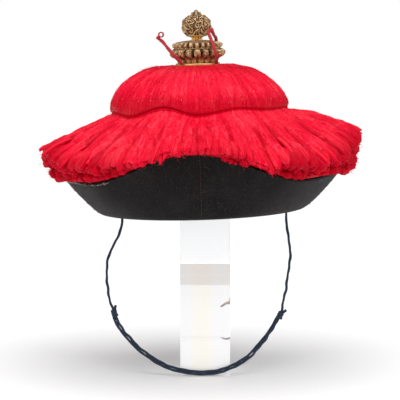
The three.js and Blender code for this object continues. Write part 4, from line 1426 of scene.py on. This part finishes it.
stitchSetup = {"count": 22, "length": 1.5, "thick": 0.22}


def makeStitches(setup):
    # the seams of the brim, front and back, sewn up with brown thread
    step = np.linspace(0, 1, 4)
    stitches = []
    for azimuth in (brimSetup["seamAzimuth"], brimSetup["seamAzimuth"] + 180):
        for share in np.linspace(0.03, 0.97, setup["count"]):
            along = share + (step - 0.5) * setup["length"] / brimSetup["meanHeight"]
            radius, height = brimOuter(azimuth + 0 * step, along, 0.12 * np.sin(step * math.pi) - 0.2)
            slant = azimuth + 0.16 * (step - 0.5)
            stitches.append(toPart(polar(radius, slant, height)))
    growStrands("seam_stitches", stitches, setup["thick"] * 0.001, 0.0, finishes["stitch"], 6)


makeHairs(hairSetup)
makeStitches(stitchSetup)
print("felt dressed")

finialSetup = {
    "plateFoot": 146.7, "plateHeight": 2.8, "plateRadius": 22.5, "baseHeight": 22.8, "baseRadius": 28.2,
    "neckHeight": 4.6, "neckRadius": 4.8, "ballRadius": 15, "ballFoot": 11, "ballRise": 10.6, "ballTop": 6,
    "tipHeight": 5.2, "bore": 2.3, "gap": 0.3,
}
baseFoot = finialSetup["plateFoot"] + finialSetup["plateHeight"] + finialSetup["gap"]
neckFoot = baseFoot + finialSetup["baseHeight"] + finialSetup["gap"]
ballFoot = neckFoot + finialSetup["neckHeight"] + finialSetup["gap"]
ballCentre = ballFoot + math.sqrt(finialSetup["ballRadius"] ** 2 - finialSetup["ballFoot"] ** 2)
ballTop = ballCentre + finialSetup["ballRise"] * math.sqrt(
    1 - (finialSetup["ballTop"] / finialSetup["ballRadius"]) ** 2)
baseProfile = [
    # radius, height
    (0.73, 0), (0.75, 0.06), (0.76, 0.12), (0.81, 0.19), (0.88, 0.26), (0.94, 0.36), (0.95, 0.5),
    (0.88, 0.61), (0.83, 0.66), (0.87, 0.73), (0.86, 0.82), (0.76, 0.91), (0.5, 0.97), (0.22, 1),
]


def scrolls(x, y, places, width):
    # raised curls that wind round chosen places; x and y are on the surface, in millimetres
    nearest = np.full(np.shape(x), 1e9)
    relief = np.zeros(np.shape(x))
    for index, (px, py) in enumerate(places):
        dx, dy = x - px, y - py
        reach = np.hypot(dx, dy)
        wind = np.arctan2(dy, dx) * (1 if index % 2 else -1)
        curl = 0.5 + 0.5 * np.cos(2 * math.pi * reach / width - wind + index)
        relief = np.where(reach < nearest, curl, relief)
        nearest = np.minimum(nearest, reach)
    return relief


def castPiece(node, outer, foot, top, azimuth, along, shade):
    # closes a cast surface with the bore for the pin
    columns = len(outer)
    bore = np.broadcast_to([[finialSetup["bore"], top], [finialSetup["bore"], foot]], (columns, 2, 2))
    shade = np.concatenate([shade, np.ones((columns, 2))], 1)
    section = np.concatenate([outer, bore], 1)
    piece = ringPiece(node + "_cast", section, azimuth, along[None, :], finishes["gilt"], shade)
    finishPiece(piece, [node])


ballSetup = {
    # girth is the length round the ball over which the scrolls are laid out
    "columns": 264, "rows": 120, "girth": 94.2, "scrolls": ((-7, 7), (0, 8), (7, 7)), "curl": 3.5,
    "depth": 1.4,
}


def makeBall(setup):
    # rows of scrolls over a ball that is cut flat at its foot and top
    columns = setup["columns"]
    azimuth = np.arange(columns)[:, None] * 360 / columns
    radius, rise = finialSetup["ballRadius"], finialSetup["ballRise"]
    low, high = -math.acos(finialSetup["ballFoot"] / radius), math.acos(finialSetup["ballTop"] / radius)
    angle = np.linspace(low, high, setup["rows"])[None, :]
    draw = np.random.default_rng(9)
    girth = setup["girth"]
    places = []
    for row, count in setup["scrolls"]:
        for n in range(count):
            place = (n + 0.5 * (row % 2)) / count * girth + draw.uniform(-1, 1)
            places.append((place % girth, row + draw.uniform(-1, 1)))
    x, y = azimuth / 360 * girth, angle * radius
    wrapped = [(px + shift, py) for px, py in places for shift in (-girth, 0, girth)]
    bentX = x + 1.5 * ripple(91, azimuth, y, (3, 11), 0.5, 8)
    bentY = y + 1.3 * ripple(92, azimuth, y, (3, 11), 0.5, 8)
    relief = smooth(scrolls(bentX, bentY, wrapped, setup["curl"]), 0.1, 0.8)
    sink = setup["depth"] * (1 - relief) + 0.7 * ripple(93, azimuth, y, (4, 14), 0.6, 10)
    size = radius - sink
    height = np.where(angle < 0, radius, rise) * np.sin(angle) * (1 - sink / radius)
    outer = np.stack([size * np.cos(angle), ballCentre + height + 0 * size], -1)
    along = np.append(y[0], [20, 21])
    castPiece("finial_ball", outer, ballFoot, ballTop, azimuth, along, 0.55 * (1 - relief))


baseSetup = {
    # girth is the length round the base over which the eyes and curls are laid out
    "columns": 360, "rows": 90, "girth": 150, "eyeSpacing": 16.667, "eyeHalf": 8.333, "curl": 3.0,
    "lobes": 9, "ribs": 12,
}


def makeBase(setup):
    # leaves at the foot, then a belt of lobes with eyes and curls, then a ring of ribs
    azimuth = np.arange(setup["columns"])[:, None] * 360 / setup["columns"]
    curve = spline(baseProfile, setup["rows"])
    share = curve[:, 1]
    boss = smooth(share, 0.15, 0.32) * smooth(0.66 - share, 0, 0.16)
    ridge = smooth(share, 0.6, 0.72) * smooth(1.0 - share, 0.02, 0.14)
    lobe = np.abs(np.cos(np.radians(azimuth * setup["lobes"])))
    rib = np.abs(np.cos(np.radians(azimuth * setup["ribs"] + 4)))
    x = azimuth / 360 * setup["girth"] + 0 * share[None, :]
    y = share[None, :] * finialSetup["baseHeight"] + 0 * azimuth
    spacing, half = setup["eyeSpacing"], setup["eyeHalf"]
    centres = [(n * spacing + half + side * 2.6, 9 + 1.5 * side) for n in range(-1, 9) for side in (-1, 1)]
    bent = 1.1 * ripple(94, azimuth, y, (5, 18), 0.5, 8)
    curls = smooth(scrolls(x + bent, y + bent, centres, setup["curl"]), 0.2, 0.7)
    eyeAway = np.hypot((np.mod(x + half, spacing) - half) / 2.9, (y - 9.2) / 4.8)
    eye = smooth(1.15 - eyeAway, 0, 0.3)
    rim = np.exp(-((eyeAway - 0.95) / 0.16) ** 2)
    onBoss = (1 - curls) * (1 - eye) * 1.3 + 0.8 * eye * (1 - rim) + 3.0 * (1 - smooth(lobe, 0.0, 0.6))
    sunk = boss[None, :] * onBoss + ridge[None, :] * (1 - smooth(rib, 0.05, 0.8)) * 3.0
    between = np.abs(np.cos(np.radians(azimuth * setup["lobes"] + 90)))
    leaf = smooth(0.3 - share, 0, 0.08)[None, :] * (1 - smooth(between, 0.1, 0.7))
    sunk = sunk + 1.3 * leaf + 0.4 * ripple(95, azimuth, y, (10, 60), 1.2, 12)
    swell = boss[None, :] * (2.6 * smooth(lobe, 0.3, 1) + 0.9 * rim) + ridge[None, :] * 1.6 * rib
    size = finialSetup["baseRadius"] * curve[None, :, 0] * 0.97 + swell - sunk
    outer = np.stack([size, baseFoot + y], -1)
    hollow = 0.25 * np.exp(-((share - 0.2) / 0.07) ** 2) + 0.4 * np.exp(-((share - 0.6) / 0.03) ** 2)
    shade = np.clip(0.2 * sunk + hollow[None, :], 0, 1)
    top = baseFoot + finialSetup["baseHeight"]
    castPiece("finial_base", outer, baseFoot, top, azimuth, np.append(share * 20, [21, 22]), shade)


def turned(name, profile, columns, material, ribs=0, depth=0.0):
    # a turned piece from a closed profile, with ribs round it where asked
    azimuth = np.arange(columns)[:, None] * 360 / columns
    section = np.repeat(np.array(profile, float)[None], columns, 0)
    shade = np.zeros(section.shape[:2])
    if ribs:
        wave = np.cos(np.radians(azimuth * ribs))
        section[..., 0] += depth * wave * (section[..., 0] > finialSetup["bore"] + 1)
        shade += 0.25 * (1 - wave)
    along = np.linspace(0, 20, section.shape[1])[None, :]
    return ringPiece(name, section, azimuth, along, material, shade)


def makeTurned():
    bore, gap = finialSetup["bore"], finialSetup["gap"]
    foot, top = finialSetup["plateFoot"], finialSetup["plateFoot"] + finialSetup["plateHeight"]
    edge = finialSetup["plateRadius"]
    plate = [(bore, foot), (edge - 0.3, foot), (edge, foot + 0.3), (edge, top - 0.8),
             (edge - 0.25, top - 0.25), (edge - 0.8, top), (bore, top)]
    finishPiece(turned("finial_plate_gilt", plate, 120, finishes["gold"]), ["finial_plate"])
    height, thin = finialSetup["neckHeight"], finialSetup["neckRadius"]
    cup = spline([(thin + 0.9, 0), (thin, 0.3 * height), (thin + 0.6, 0.5 * height), (9.5, 0.8 * height),
                  (11, height)], 24)
    neck = [(bore, neckFoot)] + [(r, neckFoot + h) for r, h in cup] + [(bore, neckFoot + height)]
    piece = turned("finial_neck_gilt", neck, 192, finishes["gold"], 12, 0.35)
    finishPiece(piece, ["finial_neck"])
    foot, height, wide = ballTop + gap, finialSetup["tipHeight"], finialSetup["ballTop"]
    bud = spline([(0.85 * wide, 0), (0.86 * wide, 0.25 * height), (0.8 * wide, 0.45 * height),
                  (0.4 * wide, 0.6 * height), (0.3 * wide, 0.72 * height), (0.24 * wide, 0.9 * height),
                  (0.05, height)], 30)
    tip = [(0.05, foot)] + [(r, foot + h) for r, h in bud]
    piece = turned("finial_tip_leaves", tip, 96, finishes["gilt"], 6, 0.5)
    finishPiece(piece, ["finial_tip"])
    # the pin stays as the frame has it, in the metal of the rest
    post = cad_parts["finial_post"]
    post.data.materials.clear()
    post.data.materials.append(finishes["gold"])


makeBall(ballSetup)
makeBase(baseSetup)
makeTurned()
print("finial made")

standSetup = {
    "bevel": 0.0006,
    "seam": 0.00004,
    "blocks": {
        # node: finish, slot
        "stand_foot_block": ("milky", "clear_block"),
        "stand_middle_block": ("milky", "clear_block"),
        "stand_grey_slab": ("grey", "grey_block"),
        "stand_top_block": ("clear", "clear_block"),
    },
}


def makeStand():
    for node, (finish, slot) in standSetup["blocks"].items():
        low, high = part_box(node)
        size, middle = high - low, (low + high) / 2
        mesh = bpy.data.meshes.new(node)
        corners = [(x, y, z) for x in (-0.5, 0.5) for y in (-0.5, 0.5) for z in (-0.5, 0.5)]
        faces = [(0, 1, 3, 2), (4, 6, 7, 5), (0, 4, 5, 1), (2, 3, 7, 6), (0, 2, 6, 4), (1, 5, 7, 3)]
        size = size - Vector((0, 0, standSetup["seam"]))
        points = [[middle[axis] + corner[axis] * size[axis] for axis in range(3)] for corner in corners]
        mesh.from_pydata(points, [], faces)
        block = addObject(node + "_polished", mesh, finishes[finish])
        bevel = block.modifiers.new("edges", "BEVEL")
        bevel.width = standSetup["bevel"]
        bevel.segments = 2
        finishPiece(block, [node])


makeStand()

chipSetup = {
    "depth": 0.0006,
    "shapes": [
        # outlines on the front face, sideways and height in millimetres
        [(25.3, 80.5), (24.2, 76.8), (20.4, 75.2), (15.8, 71.9), (15.0, 70.4), (17.6, 70.6), (21.6, 73.2),
         (25.3, 73.6)],
        [(25.3, 39.4), (20.6, 38.6), (15.2, 39.6), (18.4, 37.4), (22.2, 36.8), (25.3, 37.8)],
    ],
}


def makeChips(setup):
    # two chipped places on the right front edge
    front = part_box("stand_middle_block")[0][1]
    points, faces = [], []
    for shape in setup["shapes"]:
        first, count = len(points), len(shape)
        middle = np.mean(shape, axis=0)
        for depth, size in ((-0.00005, 1), (setup["depth"], 0.5)):
            for x, z in shape:
                x, z = mix(middle[0], x, size), mix(middle[1], z, size)
                points.append((x * 0.001, front + depth, z * 0.001))
        faces.append(tuple(first + n for n in range(count)))
        faces.append(tuple(first + count + n for n in range(count))[::-1])
        for n in range(count):
            after = (n + 1) % count
            faces.append((first + after, first + n, first + count + n, first + count + after))
    finishPiece(meshFrom("stand_chips", points, faces, finishes["chip"]), [])


makeChips(chipSetup)
print("stand made")

floorSetup = {"half": 60, "albedo": 0.9, "glow": 0.05}


def makeFloor(setup):
    # a pale floor that fades into the white backdrop
    half = setup["half"]
    mesh = bpy.data.meshes.new("floor")
    mesh.from_pydata([(-half, -6, 0), (half, -6, 0), (half, half, 0), (-half, half, 0)], [], [(0, 1, 2, 3)])
    material, _, shader = newMaterial("floor")
    setSockets(shader, Base_Color=(setup["albedo"],) * 3, Roughness=0.9, Specular_IOR_Level=0.1,
               Emission_Color=(1.0, 1.0, 1.0), Emission_Strength=setup["glow"])
    addObject("floor", mesh, material)


def makeOverhead(setup):
    # one broad soft light from above, a little in front
    data = bpy.data.lights.new("overhead", "SUN")
    data.energy = setup["strength"]
    data.angle = math.radians(setup["spread"])
    light = bpy.data.objects.new("overhead", data)
    light.rotation_euler = (math.radians(setup["tilt"]), math.radians(setup["turn"]), 0)
    scene.collection.objects.link(light)


def makeWorld(setup):
    # a white surround: full strength where it is seen, less in what it lights and in reflections
    world = bpy.data.worlds.new("studio")
    world.use_nodes = True
    tree = world.node_tree
    rays = tree.nodes.new("ShaderNodeLightPath").outputs
    lost = mathNode(tree, "ADD", mathNode(tree, "MULTIPLY", rays["Is Diffuse Ray"], 1 - setup["diffuse"]),
                    mathNode(tree, "MULTIPLY", rays["Is Glossy Ray"], 1 - setup["glossy"]))
    background = tree.nodes["Background"]
    background.inputs["Color"].default_value = (1, 1, 1, 1)
    tree.links.new(mathNode(tree, "SUBTRACT", 1.0, lost), background.inputs["Strength"])
    scene.world = world


def makeLight(name, place, target, size, power, colour=(1, 1, 1)):
    data = bpy.data.lights.new(name, "AREA")
    data.shape = "RECTANGLE"
    data.size, data.size_y = size
    data.energy = power
    data.color = colour
    light = bpy.data.objects.new(name, data)
    light.location = place
    light.rotation_euler = (Vector(target) - Vector(place)).to_track_quat("-Z", "Y").to_euler()
    scene.collection.objects.link(light)


makeFloor(floorSetup)
makeWorld({"diffuse": 0.44, "glossy": 0.15})
makeOverhead({"strength": 2.2, "spread": 64, "tilt": 16, "turn": 3})
makeLight("left softbox", (-1.6, -1.5, 1.0), (0, 0, 0.25), (0.9, 1.2), 9.5)
makeLight("right softbox", (1.7, -1.3, 0.9), (0, 0, 0.25), (0.9, 1.2), 8)
